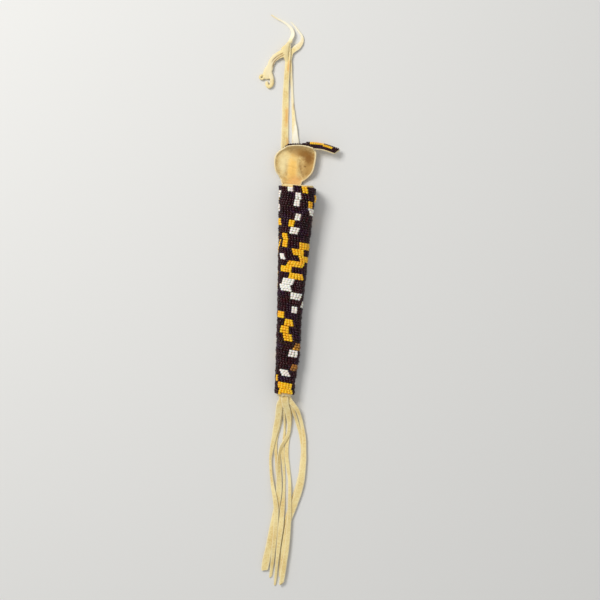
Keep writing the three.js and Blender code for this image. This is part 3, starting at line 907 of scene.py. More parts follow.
@dataclass
class BeadWrap:
    """The spiral lane of beads: strings of three beads side by side, wound from mouth to tip.

    The middle bead of a string stands out by the arch. The strings lean and the lane swells by
    sums of sines over the turns, with the same rates and phases for both.
    """

    form: CaseForm
    bead: Bead = Bead(1.13, 1.6)
    stray: Stray = Stray()
    pitch: float = 4.7
    top: float = 72.6
    string_width: float = 2.02
    row: float = 1.52
    depth: float = 1.02
    arch: float = 0.16
    lean: float = 1.5
    swell: float = 0.26
    flat_share: float = 0.7
    turns: float = 31.4
    seed: int = 11
    end_gap: float = 0.55
    floor_share: float = 1.15
    dull_shift: float = 1.5
    side_shares: tuple[float, ...] = (0.66, 0.2, 0.14)
    thread_radius: float = 0.17
    wave_rates: tuple[float, ...] = (2.1, 3.7, 7.3, 11.9)
    wave_phases: tuple[float, ...] = (0.4, 2.0, 5.1, 1.2)
    slack_at: tuple[float, ...] = (0, 4, 9, 11, 14.5, 17, 20, 24, 27, 30.5)
    slack: tuple[float, ...] = (0, 0.1, 0.25, 0, -0.35, -0.26, -0.28, 0.15, 0.2, 0)
    loose: tuple[Loosening, ...] = (
        Loosening(1.2, 0.7, 0.9), Loosening(23.8, 3.0, 1.4), Loosening(9.0, 0.8, 0.3),
    )

    def lane_y(self, turn: Array) -> Array:
        """How far along the case the lane's middle lies, after a number of turns.

        The lane was wound by hand, so it runs ahead of its even pitch or behind it by a part of
        a lane, given at some of the turns.
        """
        return self.top - self.pitch * (turn + 0.5 + np.interp(turn, self.slack_at, self.slack))

    def strings(self) -> tuple[Array, Array]:
        """Places the strings at even steps along the spiral.

        Returns:
            Each string's turn and its angle round the case.
        """
        turn = np.linspace(-1.0, self.turns, 9000)
        angle = 2 * math.pi * (0.25 - turn)
        line = self.form.point(self.lane_y(turn), angle, self.depth)
        run = run_along(line)
        steps = np.arange(0, run[-1], self.string_width)
        chosen = np.interp(steps, run, turn)
        return chosen, 2 * math.pi * (0.25 - chosen)

    def tints(self, turn: Array, angle: Array) -> tuple[Array, Array]:
        """The colour of each string, and whether it is dull.

        The front follows the blocks, and the sides and back carry on with runs of the same
        colours, drawn at random. A block on the flat of the front takes the strings nearest its
        middle, as many as fit its width, and one at a side takes all the strings between its ends.

        Args:
            turn: Each string's turn.
            angle: Its angle round the case.

        Returns:
            The place of each string's colour among the tints, and true where it is dull.
        """
        random = np.random.default_rng(self.seed)
        runs = random.integers(1, 6, len(turn))
        kinds = random.choice(len(TINTS), len(turn), p=self.side_shares)
        kinds[1::2] = 0
        colours = np.repeat(kinds, runs)[: len(turn)]
        height = np.sin(angle)
        place = self.lane_y(turn)
        share = self.form.point(place, angle, 0.0)[:, 0] / self.form.half_width(place)
        lane = np.round(turn).astype(int)
        colours[height > 0.12] = 0
        dull = np.zeros(len(turn), bool)
        for block in FRONT_BLOCKS:
            on_lane = (lane == block.lane) & (height > -0.05)
            centre = (block.left + block.right) / 2
            if abs(centre) < self.flat_share:
                half = self.form.half_width(self.lane_y(np.array([block.lane])))[0]
                strings = (block.right - block.left) * half / self.string_width
                count = max(1, round(strings / math.sqrt(1 - 0.8 * centre**2)))
                inside = np.argsort(np.where(on_lane, np.abs(share - centre), np.inf))[:count]
            else:
                inside = on_lane & (share >= block.left) & (share <= block.right)
            colours[inside] = TINTS.index(block.tint)
            dull[inside] = block.dull
        return colours, dull

    def laid(self, turn: Array, angle: Array, dull: Array) -> LaidBeads:
        """Lays three beads to a string on the form, each a little astray.

        A bead lies a row's width to either side of the lane's middle. It lies in from the crest
        by the depth and the arch, and out by the swell and by a bell over the turns where the
        lane is loose.

        Args:
            turn: Each string's turn.
            angle: Its angle round the case.
            dull: Whether its beads are dim brown.

        Returns:
            The beads, three in each row.
        """
        random = np.random.default_rng(self.seed + 1)
        stray, count = self.stray, len(turn)
        middle = self.lane_y(turn)
        place = np.array([1.0, 0.0, -1.0])
        local = (self.lane_y(turn - 0.5) - self.lane_y(turn + 0.5))[:, None] / self.pitch
        y = middle[:, None] + place * self.row * local + random.normal(0, stray.along, (count, 3))
        wave = np.sin(turn[:, None] * np.array(self.wave_rates) + np.array(self.wave_phases))
        lean = wave.mean(axis=1)[:, None] * self.lean + random.normal(0, stray.lean, (count, 1))
        around = self.form.half_width(middle)[:, None]
        theta = angle[:, None] + (random.normal(0, stray.around, (count, 1)) + place * lean) / around
        bulge = np.sin(1.7 * wave + 0.6).mean(axis=1)[:, None] * self.swell * np.ones(3)
        for loose in self.loose:
            bell = np.exp(-(((turn - loose.turn) / loose.reach) ** 2))
            side = np.maximum(np.cos(angle), 0) ** 3 * bell
            bulge += loose.height * side[:, None] * (1 - 0.15 * place**2)
        inset = self.depth + np.abs(place) * self.arch - bulge
        inset = inset + random.normal(0, stray.out, (count, 3))
        centres = self.form.point(y, theta, inset)
        ahead = self.form.point(y, theta + 0.02, inset)
        beyond = self.form.point(y + 0.2, theta, inset)
        along = unit(unit(beyond - centres) + random.normal(0, stray.tilt, centres.shape))
        across = unit(ahead - centres)
        across = unit(across - along * np.sum(across * along, axis=-1, keepdims=True))
        size = random.normal(1.0, stray.size, (count, 3, 1))
        shade = np.clip(random.normal(0.5, stray.shade, (count, 3)), 0, 1)
        centres[..., 2] = np.maximum(centres[..., 2], self.bead.radius * self.floor_share)
        inward = np.cross(across, along)
        shade = shade + self.dull_shift * dull[:, None]
        return LaidBeads(centres, across * size, along, inward * size, shade)

    def build(
        self, glass: dict[Tint, bpy.types.Material], sinew: bpy.types.Material
    ) -> list[bpy.types.Object]:
        """Builds the beads of each colour and the thread through them.

        Args:
            glass: The material of each colour.
            sinew: The thread's material.

        Returns:
            The pieces.
        """
        turn, angle = self.strings()
        colours, dull = self.tints(turn, angle)
        laid = self.laid(turn, angle, dull)
        kept = np.abs(laid.centres[..., 1]) < self.form.length / 2 - self.end_gap
        upper = self.lane_y(turn) >= 0
        splits = {
            "dark_beads_upper": (Tint.DARK, upper),
            "dark_beads_lower": (Tint.DARK, ~upper),
            "amber_beads": (AMBER, True),
            "white_beads": (WHITE, True),
        }
        pieces = []
        for name, (tint, zone) in splits.items():
            chosen = kept & ((colours == TINTS.index(tint)) & zone)[:, None]
            piece = make_piece(name, self.bead.stamp(laid.chosen(chosen)))
            dress(piece, glass[tint])
            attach(piece, "case")
            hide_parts("bead_wrap")
            pieces.append(piece)
        pieces.append(self.thread(laid, sinew))
        return pieces

    def thread(self, laid: LaidBeads, sinew: bpy.types.Material) -> bpy.types.Object:
        """The thread through each string, which dips into the hide at both ends.

        A four-sided tube runs through the string's three beads. Beyond each end it has a point
        just outside the bead's hole and one below the surface.

        Args:
            laid: The beads, three to a string.
            sinew: The thread's material.

        Returns:
            The thread, as one piece.
        """
        limit = self.form.length / 2 - 0.6
        whole = (laid.centres[:, 0, 1] < limit) & (laid.centres[:, 2, 1] > -limit)
        centres, out = laid.centres[whole], -unit(laid.out[whole])
        step = (centres[:, 0] - centres[:, 2]) / 2

        def beyond(bead: int, way: int, share: float, drop: float) -> Array:
            """A point past a bead by a share of the step between beads, dropped below its axis."""
            return centres[:, bead] + way * step * share - out[:, bead] * drop

        line = np.stack(
            [
                beyond(0, 1, 0.6, 1.25), beyond(0, 1, 0.52, 0.25),
                centres[:, 0], centres[:, 1], centres[:, 2],
                beyond(2, -1, 0.52, 0.25), beyond(2, -1, 0.6, 1.25),
            ],
            axis=1,
        )
        across = unit(np.cross(out[:, 1], step))[:, None, :] * self.thread_radius
        lift = out[:, 1][:, None, :] * self.thread_radius
        points = np.stack([line + across, line + lift, line - across, line - lift], axis=2)
        rings, sides = points.shape[1:3]
        side = np.arange(sides)
        quads = grid_quads(rings, sides, ring_columns=True)
        faces = np.concatenate([quads, [side[::-1]], [side + (rings - 1) * sides]])
        shift = (np.arange(len(line)) * rings * sides)[:, None, None]
        surface = Surface(points.reshape(-1, 3), (faces[None] + shift).reshape(-1, 4).tolist())
        piece = make_piece("beading_thread", surface)
        dress(piece, sinew)
        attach(piece, "case")
        return piece


# The lid


@dataclass(frozen=True)
class Groove:
    """A crease in the lid's hide along a straight line: a valley where its height is negative."""

    start: tuple[float, float]
    end: tuple[float, float]
    width: float
    height: float

    def at(self, x: Array, y: Array) -> Array:
        """The crease's height at each place: a bell over the distance from the line."""
        (ax, ay), (bx, by) = self.start, self.end
        dx, dy = bx - ax, by - ay
        t = np.clip(((x - ax) * dx + (y - ay) * dy) / (dx * dx + dy * dy), 0, 1)
        away = np.hypot(x - ax - t * dx, y - ay - t * dy)
        return self.height * np.exp(-((away / self.width) ** 2))


LID_GROOVES = (
    Groove((0.4, 90.6), (0.9, 86.0), 1.5, -0.35),
    Groove((0.9, 86.0), (3.6, 79.8), 1.3, -0.4),
    Groove((-2.2, 91.0), (0.0, 79.5), 1.8, 0.5),
    Groove((-6.3, 86.4), (-1.8, 84.9), 0.45, -0.4),
    Groove((-5.5, 93.0), (-4.2, 80.0), 2.0, 0.45),
    Groove((-9.4, 90.0), (-8.0, 82.0), 1.5, -0.14),
    Groove((3.5, 93.5), (8.5, 90.0), 1.6, -0.35),
    Groove((4.3, 86.9), (4.5, 86.7), 0.5, -0.45),
    Groove((5.0, 82.0), (7.5, 86.0), 1.0, 0.25),
)


@dataclass
class Lid:
    """The lid flap with its neck, its tongue and the beads on its outer face.

    The outline's points are shares of the width and the length, as is the tongue's line, whose
    heights are in millimetres.
    """

    form: CaseForm
    width: float = 28.2
    length: float = 25.0
    crease: float = 76.2
    neck_centre: float = -4.5
    neck_width: float = 14.0
    neck_arc: tuple[float, float] = (190.0, 283.0)
    wall_middle: float = 2.5
    back_z: float = 2.3
    lift: float = 1.45
    bulge: float = 1.4
    side_radius: float = 5.0
    side_slope: float = 50.0
    far_radius: float = 6.2
    far_slope: float = 80.0
    outline_left: tuple[tuple[float, float], ...] = (
        (-0.47, 0.12), (-0.571, 0.288), (-0.603, 0.568), (-0.535, 0.77), (-0.323, 0.944),
    )
    outline_right: tuple[tuple[float, float], ...] = (
        (0.245, 0.136), (0.348, 0.304), (0.394, 0.58), (0.397, 0.82), (0.323, 0.936),
    )
    tongue_line: tuple[tuple[float, float], ...] = (
        (0.05, 0.985), (0.22, 1.0), (0.42, 1.0), (0.62, 0.98), (0.92, 0.89),
    )
    tongue_heights: tuple[float, ...] = (7.0, 6.8, 6.3, 5.9, 5.3)
    tongue_width: float = 5.6
    tongue_lean: float = 42.0
    tongue_slant: float = 1.8
    tongue_narrowing: float = 0.28
    bead: Bead = Bead(0.78, 1.42)
    tongue_bead: Bead = Bead(0.62, 1.28)
    bead_drop: float = 1.58
    above_thongs: float = 2.3

    def edges(self) -> tuple[Array, Array]:
        """The outline's left and right halves, from the neck to the far end."""
        half = self.neck_width / 2
        size = np.array([self.width, self.length])
        return (
            np.r_[[[self.neck_centre - half, 0]], np.array(self.outline_left) * size],
            np.r_[[[self.neck_centre + half, 0]], np.array(self.outline_right) * size],
        )

    def plan(self, u: Array, v: Array) -> Array:
        """The lid's plan, from the crease outwards: u runs out to the far rim and v across."""
        left, right = self.edges()
        start, end = spline_at(left, u), spline_at(right, u)
        point = start + (end - start) * v[..., None]
        point[..., 1] += self.bulge * u * u * 4 * v * (1 - v)
        return point

    def turned_up(self, distance: Array, radius: float, slope: float) -> Array:
        """The height of an edge that turns up in an arc, at a distance inside its rim."""
        inside = np.maximum(radius * math.sin(math.radians(slope)) - distance, 0)
        return radius - np.sqrt(radius * radius - inside * inside)

    def surface(self, u: Array, v: Array) -> Array:
        """The middle of the hide, as a shallow cup.

        The height is the floor's, which rises from the neck, and the root of the squares of the
        turned-up side and far end.

        Args:
            u: Shares of the way out to the far rim.
            v: Shares of the way across, from left to right.

        Returns:
            One point for each pair.
        """
        u, v = np.broadcast_arrays(np.asarray(u, float), np.asarray(v, float))
        plan = self.plan(u, v)
        left, right = self.edges()
        span = spline_at(right, u)[..., 0] - spline_at(left, u)[..., 0]
        to_far = self.plan(np.ones_like(u), v)[..., 1] - plan[..., 1]
        to_side = np.minimum(v, 1 - v) * span
        side = self.turned_up(to_side, self.side_radius, self.side_slope) * smoothstep(u, 0.05, 0.4)
        far = self.turned_up(to_far, self.far_radius, self.far_slope)
        floor = self.back_z + self.lift * smoothstep(plan[..., 1], 0, 0.45 * self.length)
        height = floor + np.hypot(side, far)
        return np.stack([plan[..., 0], self.crease + plan[..., 1], height], axis=-1)

    def creases(self, points: Array, u: Array, v: Array) -> Array:
        """The heights of the hide's creases, puckers and dents.

        The creases add up, weaker towards the rim. The far rim and the sides are puckered by
        sines, and a product of two sines gives low lumps.

        Args:
            points: Points of the surface.
            u: Their shares of the way out.
            v: Their shares of the way across.

        Returns:
            A height for each point.
        """
        x, y = points[..., 0], points[..., 1]
        folds = sum(groove.at(x, y) for groove in LID_GROOVES)
        aside = np.abs(v - 0.5)
        rim = smoothstep(aside, 0.3, 0.5) * smoothstep(u, 0.1, 0.3)
        rim = np.maximum(smoothstep(u, 0.7, 1.0), rim)
        puckers = 0.08 * np.sin(14 * v * math.pi + 2) + 0.08 * np.sin(9 * v * math.pi)
        puckers = puckers * smoothstep(u, 0.75, 1.0)
        sides = 0.14 * np.sin(11 * u * math.pi) * smoothstep(aside, 0.36, 0.5)
        lumps = 0.10 * np.sin(0.9 * x + 0.5 * y) * np.sin(0.7 * y - 0.4 * x + 1.0)
        return folds * (1 - 0.7 * rim) + puckers + sides + lumps

    def neck(self, y: Array, v: Array) -> Array:
        """The neck, which leaves the tube's wall and levels out at the crease."""
        angle = np.radians(self.neck_arc[0] + (self.neck_arc[1] - self.neck_arc[0]) * v)
        wall = self.form.point(y, angle, self.wall_middle)
        x = self.neck_centre + self.neck_width * (v - 0.5)
        level = np.stack([x, y, np.full_like(y, self.back_z)], axis=-1)
        share = smoothstep(y, self.form.length / 2 + 0.3, self.crease)[..., None]
        return wall + (level - wall) * share

    def tongue_share(self, u: Array) -> tuple[Array, Array]:
        """Where the tongue starts and how wide it is, as shares: its root is a wedge."""
        return 0.26 * (1 - smoothstep(u, 0.0, 0.28)), 0.16 + 0.84 * smoothstep(u, 0.0, 0.46)

    def tongue(self, u: Array, v: Array) -> Array:
        """The tongue's middle surface: u runs out to its tip and v up its leaning face."""
        u = np.clip(u, 0, 1)
        line = np.array(self.tongue_line) * [self.width, self.length]
        middle = spline_at(np.c_[line, self.tongue_heights], u)
        lean = math.radians(self.tongue_lean)
        narrowing = 1 - self.tongue_narrowing * u * u
        start, share = self.tongue_share(u)
        across = (start + v * share - 0.5) * self.tongue_width * narrowing
        x = middle[..., 0] - (2 * v - 1) * self.tongue_slant * u * u
        y = self.crease + middle[..., 1] - across * math.cos(lean)
        z = middle[..., 2] + across * math.sin(lean)
        return np.stack([x, y, z], axis=-1)

    def flap(self, hide: bpy.types.Material) -> bpy.types.Object:
        """The hide of the neck, the lid and the tongue.

        The grid's rows crowd towards the far rim and its columns towards the sides, where the
        surface bends most.

        Args:
            hide: Its material.

        Returns:
            The flap, whose neck runs from the tube's wall to the crease.
        """
        inside = np.linspace(self.form.length / 2 - 3.5, self.crease - 0.2, 16)
        out = 1 - (1 - np.linspace(0.008, 1, 84)) ** 1.5
        v = 0.5 - 0.5 * np.cos(np.linspace(0, math.pi, 90))
        grid_y, grid_v = np.meshgrid(inside, v, indexing="ij")
        neck = self.neck(grid_y, grid_v)
        grid_u, grid_v = np.meshgrid(out, v, indexing="ij")
        cup = self.surface(grid_u, grid_v)
        relief = self.creases(cup, grid_u, grid_v)
        cup[..., 2] += relief
        middle = np.concatenate([neck, cup])
        mouth = self.form.length / 2
        thick = np.concatenate([
            0.92 + 0.12 * smoothstep(inside, mouth - 1, mouth),
            1.02 - 0.3 * smoothstep(out, 0.85, 1.0),
        ])[:, None]
        flap = closed_sheet(middle, np.broadcast_to(thick, middle.shape[:2]))
        # The mask for painted shade: the valleys of the creases, fading out near the far rim.
        crease = np.zeros(middle.shape[:2])
        crease[len(inside):] = np.clip(-relief / 0.5, 0, 1) * (1 - smoothstep(grid_u, 0.8, 0.95))
        rim = np.zeros(len(flap.points) - 2 * crease.size)
        flap.values["crease"] = np.r_[crease.ravel(), crease.ravel(), rim]
        grid_u, grid_v = np.meshgrid(np.linspace(0.02, 1, 44), np.linspace(0, 1, 16), indexing="ij")
        strap = self.tongue(grid_u, grid_v)
        strap[..., 2] += 0.12 * np.sin(9 * grid_u) * (grid_v - 0.5)
        tongue = closed_sheet(strap, 0.95)
        tongue.values["crease"] = np.zeros(len(tongue.points))
        piece = make_piece("lid_hide", flap.joined(tongue))
        dress(piece, hide)
        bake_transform(piece)
        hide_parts("lid_flap")
        return piece

    def beads(self, glass: dict[Tint, bpy.types.Material]) -> list[bpy.types.Object]:
        """The beads on the outer face of the cup and of the tongue.

        Fifteen rows run across the cup at even shares of the way out. Beads that would meet the
        thongs under the lid are raised a little, and left out where that isn't enough.

        Args:
            glass: The material of each colour.

        Returns:
            The pieces.
        """
        fine = np.linspace(0.06, 0.94, 400)
        places = []
        for number, u in enumerate(np.linspace(0.285, 0.965, 15)):
            run = run_along(self.surface(np.full_like(fine, u), fine))
            v = np.interp(np.arange(0.8, run[-1] - 0.5, self.bead.radius * 2), run, fine)
            places.append(np.stack([np.full_like(v, u), v, np.full_like(v, number)], axis=1))
        u, v, number = np.concatenate(places).T
        drop = self.bead_drop - 0.12 * (number % 3 != 1)
        laid = self.laid(self.surface, u, v, -drop, seed=5)
        group = np.floor(number / 3) * 7 + np.floor(v * 9)
        runs = np.random.default_rng(8).choice(len(TINTS), 64, p=[0.7, 0.2, 0.1])
        raised = np.maximum(laid.centres[:, 2], self.above_thongs)
        clear = raised - laid.centres[:, 2] < 0.5
        laid.centres[:, 2] = raised
        pieces = []
        for kind, tint in enumerate(TINTS):
            chosen = laid.chosen((runs[group.astype(int)] == kind) & clear)
            surface = self.bead.stamp(chosen)
            pieces.append(self.placed("lid_beads", surface, tint, glass))
        return pieces + self.tongue_beads(glass)

    def tongue_beads(self, glass: dict[Tint, bpy.types.Material]) -> list[bpy.types.Object]:
        """Five rows of beads along the tongue, two of them amber.

        Args:
            glass: The material of each colour.

        Returns:
            The pieces.
        """
        rows = np.array([0.09, 0.3, 0.5, 0.7, 0.9])
        fine = np.linspace(0.02, 0.98, 300)
        run = run_along(self.tongue(fine, np.full_like(fine, 0.5)))
        steps = np.interp(np.arange(0.5, run[-1] - 0.3, 1.3), run, fine)
        grid_v, grid_u = np.meshgrid(rows, steps, indexing="ij")
        u, row = grid_u.ravel(), grid_v.ravel()
        start, share = self.tongue_share(u)
        v = (row - start) / share
        kept = (v > 0.0) & (v < 1.0)
        u, v, row = u[kept], v[kept], row[kept]
        laid = self.laid(self.tongue, u, v, 1.15, seed=6)
        lane = np.where(u < 0.66, row < 0.4, (row > 0.2) & (row < 0.6))
        amber = lane & (u > 0.27) & (u < 0.88)
        pieces = []
        for tint, chosen in ((Tint.DARK, ~amber), (AMBER, amber)):
            surface = self.tongue_bead.stamp(laid.chosen(chosen))
            pieces.append(self.placed("tongue_beads", surface, tint, glass))
        return pieces

    def laid(
        self, surface: Callable[[Array, Array], Array], u: Array, v: Array, offset: Array | float,
        seed: int,
    ) -> LaidBeads:
        """Lays beads on a surface, with their axes on the way out.

        The directions come from small steps on the surface.

        Args:
            surface: The function of u and v.
            u: Shares of the way out.
            v: Shares of the way across.
            offset: The distance along the surface's upward normal.
            seed: The number that the beads' shades are drawn from.

        Returns:
            The beads.
        """
        step = 0.004
        along = unit(surface(u + step, v) - surface(u - step, v))
        aside = unit(surface(u, v + step) - surface(u, v - step))
        normal = unit(np.cross(aside, along))
        centres = surface(u, v) + normal * np.broadcast_to(offset, u.shape)[:, None]
        across = unit(np.cross(along, normal))
        shade = np.clip(np.random.default_rng(seed).normal(0.5, 0.3, len(u)), 0, 1)
        return LaidBeads(centres, across, along, np.cross(across, along), shade)

    def placed(
        self, node: str, surface: Surface, tint: Tint, glass: dict[Tint, bpy.types.Material]
    ) -> bpy.types.Object:
        """Makes the beads of one colour, which replace a node and ride on the lid."""
        piece = make_piece(f"{node}_{tint.value}", surface)
        dress(piece, glass[tint])
        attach(piece, "lid")
        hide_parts(node)
        return piece


# The thongs


@dataclass(frozen=True)
class FringeThong:
    """One thong of the fringe.

    It has a column and a layer in the stack of roots, widths and turns at even steps, a slant at
    its cut tip, and a route whose y is measured from the tip of the case.
    """

    column: float
    layer: int
    widths: tuple[float, ...]
    rolls: tuple[float, ...]
    slant: float
    route: tuple[Point, ...]


FRINGE = (
    FringeThong(
        column=-1, layer=1, slant=0.6,
        widths=(
            4.2, 4.8, 4.6, 4.5, 4.3, 3.6, 2.6, 1.9, 1.8, 2.2, 2.8, 3.3, 3.4, 3.3, 3.1, 2.9, 2.6,
            2.3, 1.9,
        ),
        rolls=(0, 4, 6, -8, -14, 2, 6, 0),
        route=(
            (-1.4, -3.8, 6.9), (-2.7, -7.4, 5.8), (-3.1, -11.6, 4.3), (-3.3, -15.8, 3),
            (-4, -22.2, 1.9), (-5.1, -29.3, 1.6), (-6.3, -37.7, 1.6), (-6.9, -45.4, 1.6),
            (-6, -54.6, 1.6), (-4, -65.6, 2.5), (-1.8, -74.6, 2.8), (-0.5, -83, 2.7),
            (-0.3, -91.4, 2.7), (-0.4, -99.8, 2.7), (-0.7, -107.5, 2.6), (-1, -115.3, 1.7),
            (-1.4, -122.3, 0.8), (-1.7, -128.6, 0.5),
        ),
    ),
    FringeThong(
        column=-1, layer=3, slant=-0.7,
        widths=(2.8, 3, 3.2, 2.2, 1.8, 2.4, 2.6, 2.4, 2.3, 2),
        rolls=(0, 0, 0, 10, 0, -4, 0, 0),
        route=(
            (-0.9, -3.8, 4.6), (-1.7, -7.3, 3.8), (-1.9, -11.5, 2.7), (-2, -15.8, 1.6),
            (-2.7, -22.8, 0.6), (-3.8, -31.3, 0.5), (-3.7, -39.8, 0.5), (-2.8, -46.7, 0.5),
            (-2.1, -52.9, 0.5), (-0.7, -60.5, 0.5), (0.5, -70.3, 0.5), (0, -80.1, 0.5),
            (-1.4, -90, 0.5), (-2.7, -99.3, 0.5), (-3.8, -107.7, 0.5), (-4.4, -114.8, 0.5),
            (-4.9, -121.1, 0.5),
        ),
    ),
    FringeThong(
        column=-1, layer=2, slant=0.3,
        widths=(
            1.6, 1.8, 1.5, 1.4, 1.4, 1.8, 2.3, 2.3, 2, 1.8, 2.4, 3.4, 3.8, 3.8, 3.2, 2.6, 2.2, 1.8,
            1.4,
        ),
        rolls=(0, 0, 8, 0, -6, 0),
        route=(
            (0.1, -3.7, 5.8), (0.2, -7.2, 5), (0.6, -11.4, 3.6), (0.9, -15.6, 2.1),
            (1.5, -22.5, 0.7), (1.6, -30.2, 0.5), (1.2, -37.3, 0.5), (1.6, -44.3, 0.5),
            (2.5, -50.5, 0.5), (3.3, -56.8, 0.5), (3.8, -64.5, 0.5), (3.8, -73.6, 0.6),
            (3.5, -82, 1.2), (3.3, -90.5, 2.2), (2.9, -100.3, 2.7), (2.4, -109.5, 2.7),
            (2.1, -117.9, 2.4), (1.9, -125.6, 1.4), (1.7, -134, 0.6),
        ),
    ),
    FringeThong(
        column=0, layer=0, slant=0.5,
        widths=(
            4.6, 5.2, 4.6, 3.6, 2.6, 2.4, 2.6, 3, 3.6, 3.9, 4, 4.1, 4.2, 4.3, 4.4, 4.6, 4.9, 5.2,
            5,
        ),
        rolls=(0, 0, 0, 4, 14, 44, 26, 8, 0, 0, -4, 4, 0, -4),
        route=(
            (0.5, -3.6, 8.1), (1.2, -7.1, 7), (2.8, -11.2, 5), (3.8, -15.4, 3.3),
            (4.7, -21.6, 2.1), (4.3, -28, 1.7), (2.1, -33, 1.6), (-0.1, -37.4, 1.6),
            (-1, -43, 1.6), (-0.9, -49.3, 1.6), (-0.1, -59.1, 1.6), (0.4, -69.6, 1.6),
            (-0.3, -78.8, 1.6), (-1.4, -86.5, 1.6), (-2.6, -95, 1.6), (-3.8, -104.9, 1.6),
            (-4.9, -113.4, 1.6), (-5.7, -119.1, 1.5), (-6.1, -124, 1.4),
        ),
    ),
    FringeThong(
        column=1, layer=3, slant=1.1,
        widths=(
            2.8, 3, 3.2, 3, 2.6, 2.6, 3, 2.9, 2.5, 2.4, 2.4, 2.6, 2.8, 3, 3.2, 3.3, 3.4, 3.6, 3.4,
        ),
        rolls=(0, 0, -6, 0, 8, 0, 0),
        route=(
            (2.9, -3.5, 4.6), (3.9, -7, 3.7), (4.6, -11.1, 2.5), (4.9, -15.3, 1.4),
            (5, -21.6, 0.5), (4.4, -30.1, 0.5), (3.9, -37.1, 0.5), (4.3, -44.1, 0.5),
            (5.5, -50.3, 0.5), (6.9, -57.3, 0.7), (7.7, -64.2, 1.7), (8.1, -71.2, 2.7),
            (8.5, -78.9, 2.7), (8.8, -85.9, 2.7), (8.8, -93.6, 2.7), (8.7, -101.3, 2.7),
            (8.3, -109.8, 2.7), (7.5, -117.5, 2.7), (6.8, -125.3, 2.7), (6.2, -132.4, 2.6),
        ),
    ),
    FringeThong(
        column=1, layer=2, slant=0.6,
        widths=(
            3.6, 3.4, 2.4, 2.2, 2.3, 2.7, 3, 3.4, 3.6, 3.6, 3.4, 3, 2.8, 2.7, 2.6, 2.5, 2.4, 2.3,
            2.2,
        ),
        rolls=(0, 10, 6, 0, 0, 0),
        route=(
            (4, -3.4, 5.7), (5.3, -6.9, 4.9), (7.1, -11.7, 3.3), (9, -16.5, 1.7), (11, -21.9, 0.7),
            (13.2, -28.1, 0.5), (14.9, -35, 0.5), (15.7, -42, 0.5), (15.5, -49, 0.5),
            (14.8, -56.8, 0.5), (13.1, -65.3, 0.5), (10.5, -73.9, 0.5), (8.1, -82.4, 0.5),
            (6.3, -91.7, 0.5), (5.3, -100.8, 0.5), (4.8, -110, 0.5), (4.8, -118.4, 0.5),
            (5.2, -127.5, 0.5),
        ),
    ),
    FringeThong(
        column=1, layer=1, slant=0.8,
        widths=(
            4.4, 4.2, 3.2, 2.6, 2.6, 2.8, 3, 3.6, 4.4, 5.2, 5.2, 4.6, 3.8, 3.2, 2.9, 2.8, 2.6, 2.5,
            2.4,
        ),
        rolls=(0, -12, -10, 4, 0, 0),
        route=(
            (3.4, -3.4, 6.7), (6.4, -6.8, 6), (9.4, -10.1, 5.1), (11.6, -14.9, 3.3),
            (13.6, -21.1, 1.9), (15.3, -28, 1.6), (16.2, -35.6, 1.6), (16.4, -43.3, 1.6),
            (16.2, -50.4, 1.6), (15.6, -58.1, 1.6), (14.3, -66.6, 1.6), (12.1, -75.2, 1.6),
            (10, -83, 1.6), (8, -91.6, 1.6), (6.6, -100.8, 1.6), (5.9, -109.9, 1.6),
            (5.8, -119.1, 1.6), (6.1, -128.9, 1.6), (6.3, -133, 1.6),
        ),
    ),
)


@dataclass
class Fringe:
    """The seven thongs whose roots are stacked in the tip, in columns and layers."""

    tip: float = -72.5
    root_depth: float = 6.0
    root_column: float = 1.9
    root_top: float = 8.05
    layer: float = 1.1

    def build(self, hide: bpy.types.Material) -> list[bpy.types.Object]:
        """Args:
            hide: Their material.

        Returns:
            The seven pieces.
        """
        pieces = []
        for number, thong in enumerate(FRINGE, 1):
            x, z = thong.column * self.root_column, self.root_top - thong.layer * self.layer
            route = [(x, self.tip + self.root_depth, z), (x, self.tip, z)]
            route += [(px, self.tip + py, pz) for px, py, pz in thong.route]
            strip = Strip(
                route, thong.widths, rolls=thong.rolls, slant=thong.slant, seed=20 + number
            )
            piece = make_piece(f"fringe_{number}", strip.surface())
            dress(piece, hide)
            declare_thong(piece, strip, f"fringe_thong_{number}")
            pieces.append(piece)
        return pieces


def declare_thong(
    piece: bpy.types.Object, strip: Strip, node: str
) -> None:
    """Attaches a free thong to the case and hides the node that it replaces.

    Args:
        piece: The thong.
        strip: Its form.
        node: The node that it replaces.
    """
    line = strip.line()
    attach(piece, "case")
    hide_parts(node)


HANGER_LEFT = (
    (-7.7, 0.4, 0.75), (-8.1, 5.8, 0.75), (-8.9, 12.8, 0.75), (-9.7, 20.4, 0.7),
    (-10.5, 27.4, 0.6), (-11, 35.8, 0.5), (-11.5, 46.3, 0.5), (-12, 58.2, 0.6), (-12.4, 68.7, 1.4),
    (-12.4, 77.1, 2.4), (-12.4, 84.1, 2.8), (-12.3, 89.7, 2.8), (-12.2, 95.3, 2.8),
    (-11.9, 100.3, 2.8), (-10.7, 103.5, 2.6), (-9.9, 106.3, 2.2), (-10.9, 109.6, 1.9),
    (-13.5, 112.3, 1.7), (-17, 114.5, 1.6), (-21.7, 116.6, 1.3), (-26.1, 119, 1),
)
HANGER_RIGHT = (
    (-2.1, 0.4, 0.75), (-2.5, 6.2, 0.75), (-2.7, 13.2, 0.75), (-2.9, 20.9, 0.7), (-3.1, 27.9, 0.6),
    (-4, 36.2, 0.5), (-5.5, 46.6, 0.5), (-7.1, 58.5, 0.5), (-8.2, 68.9, 0.6), (-9.2, 77.3, 1.1),
    (-9.9, 84.2, 1.6), (-10.5, 89.8, 1.7), (-10.1, 93.7, 1.7), (-7.8, 96.2, 1.5), (-5, 98.9, 1.1),
    (-3.2, 102.2, 0.7), (-3.5, 105.4, 0.5), (-5.8, 108.5, 0.5), (-8.8, 112, 0.5),
    (-12, 115.1, 0.5),
)


@dataclass(frozen=True)
class LaceFold:
    """A fold along the lace: how far it lies to the side, how deep it is, how far it reaches."""

    aside: float
    depth: float
    reach: float


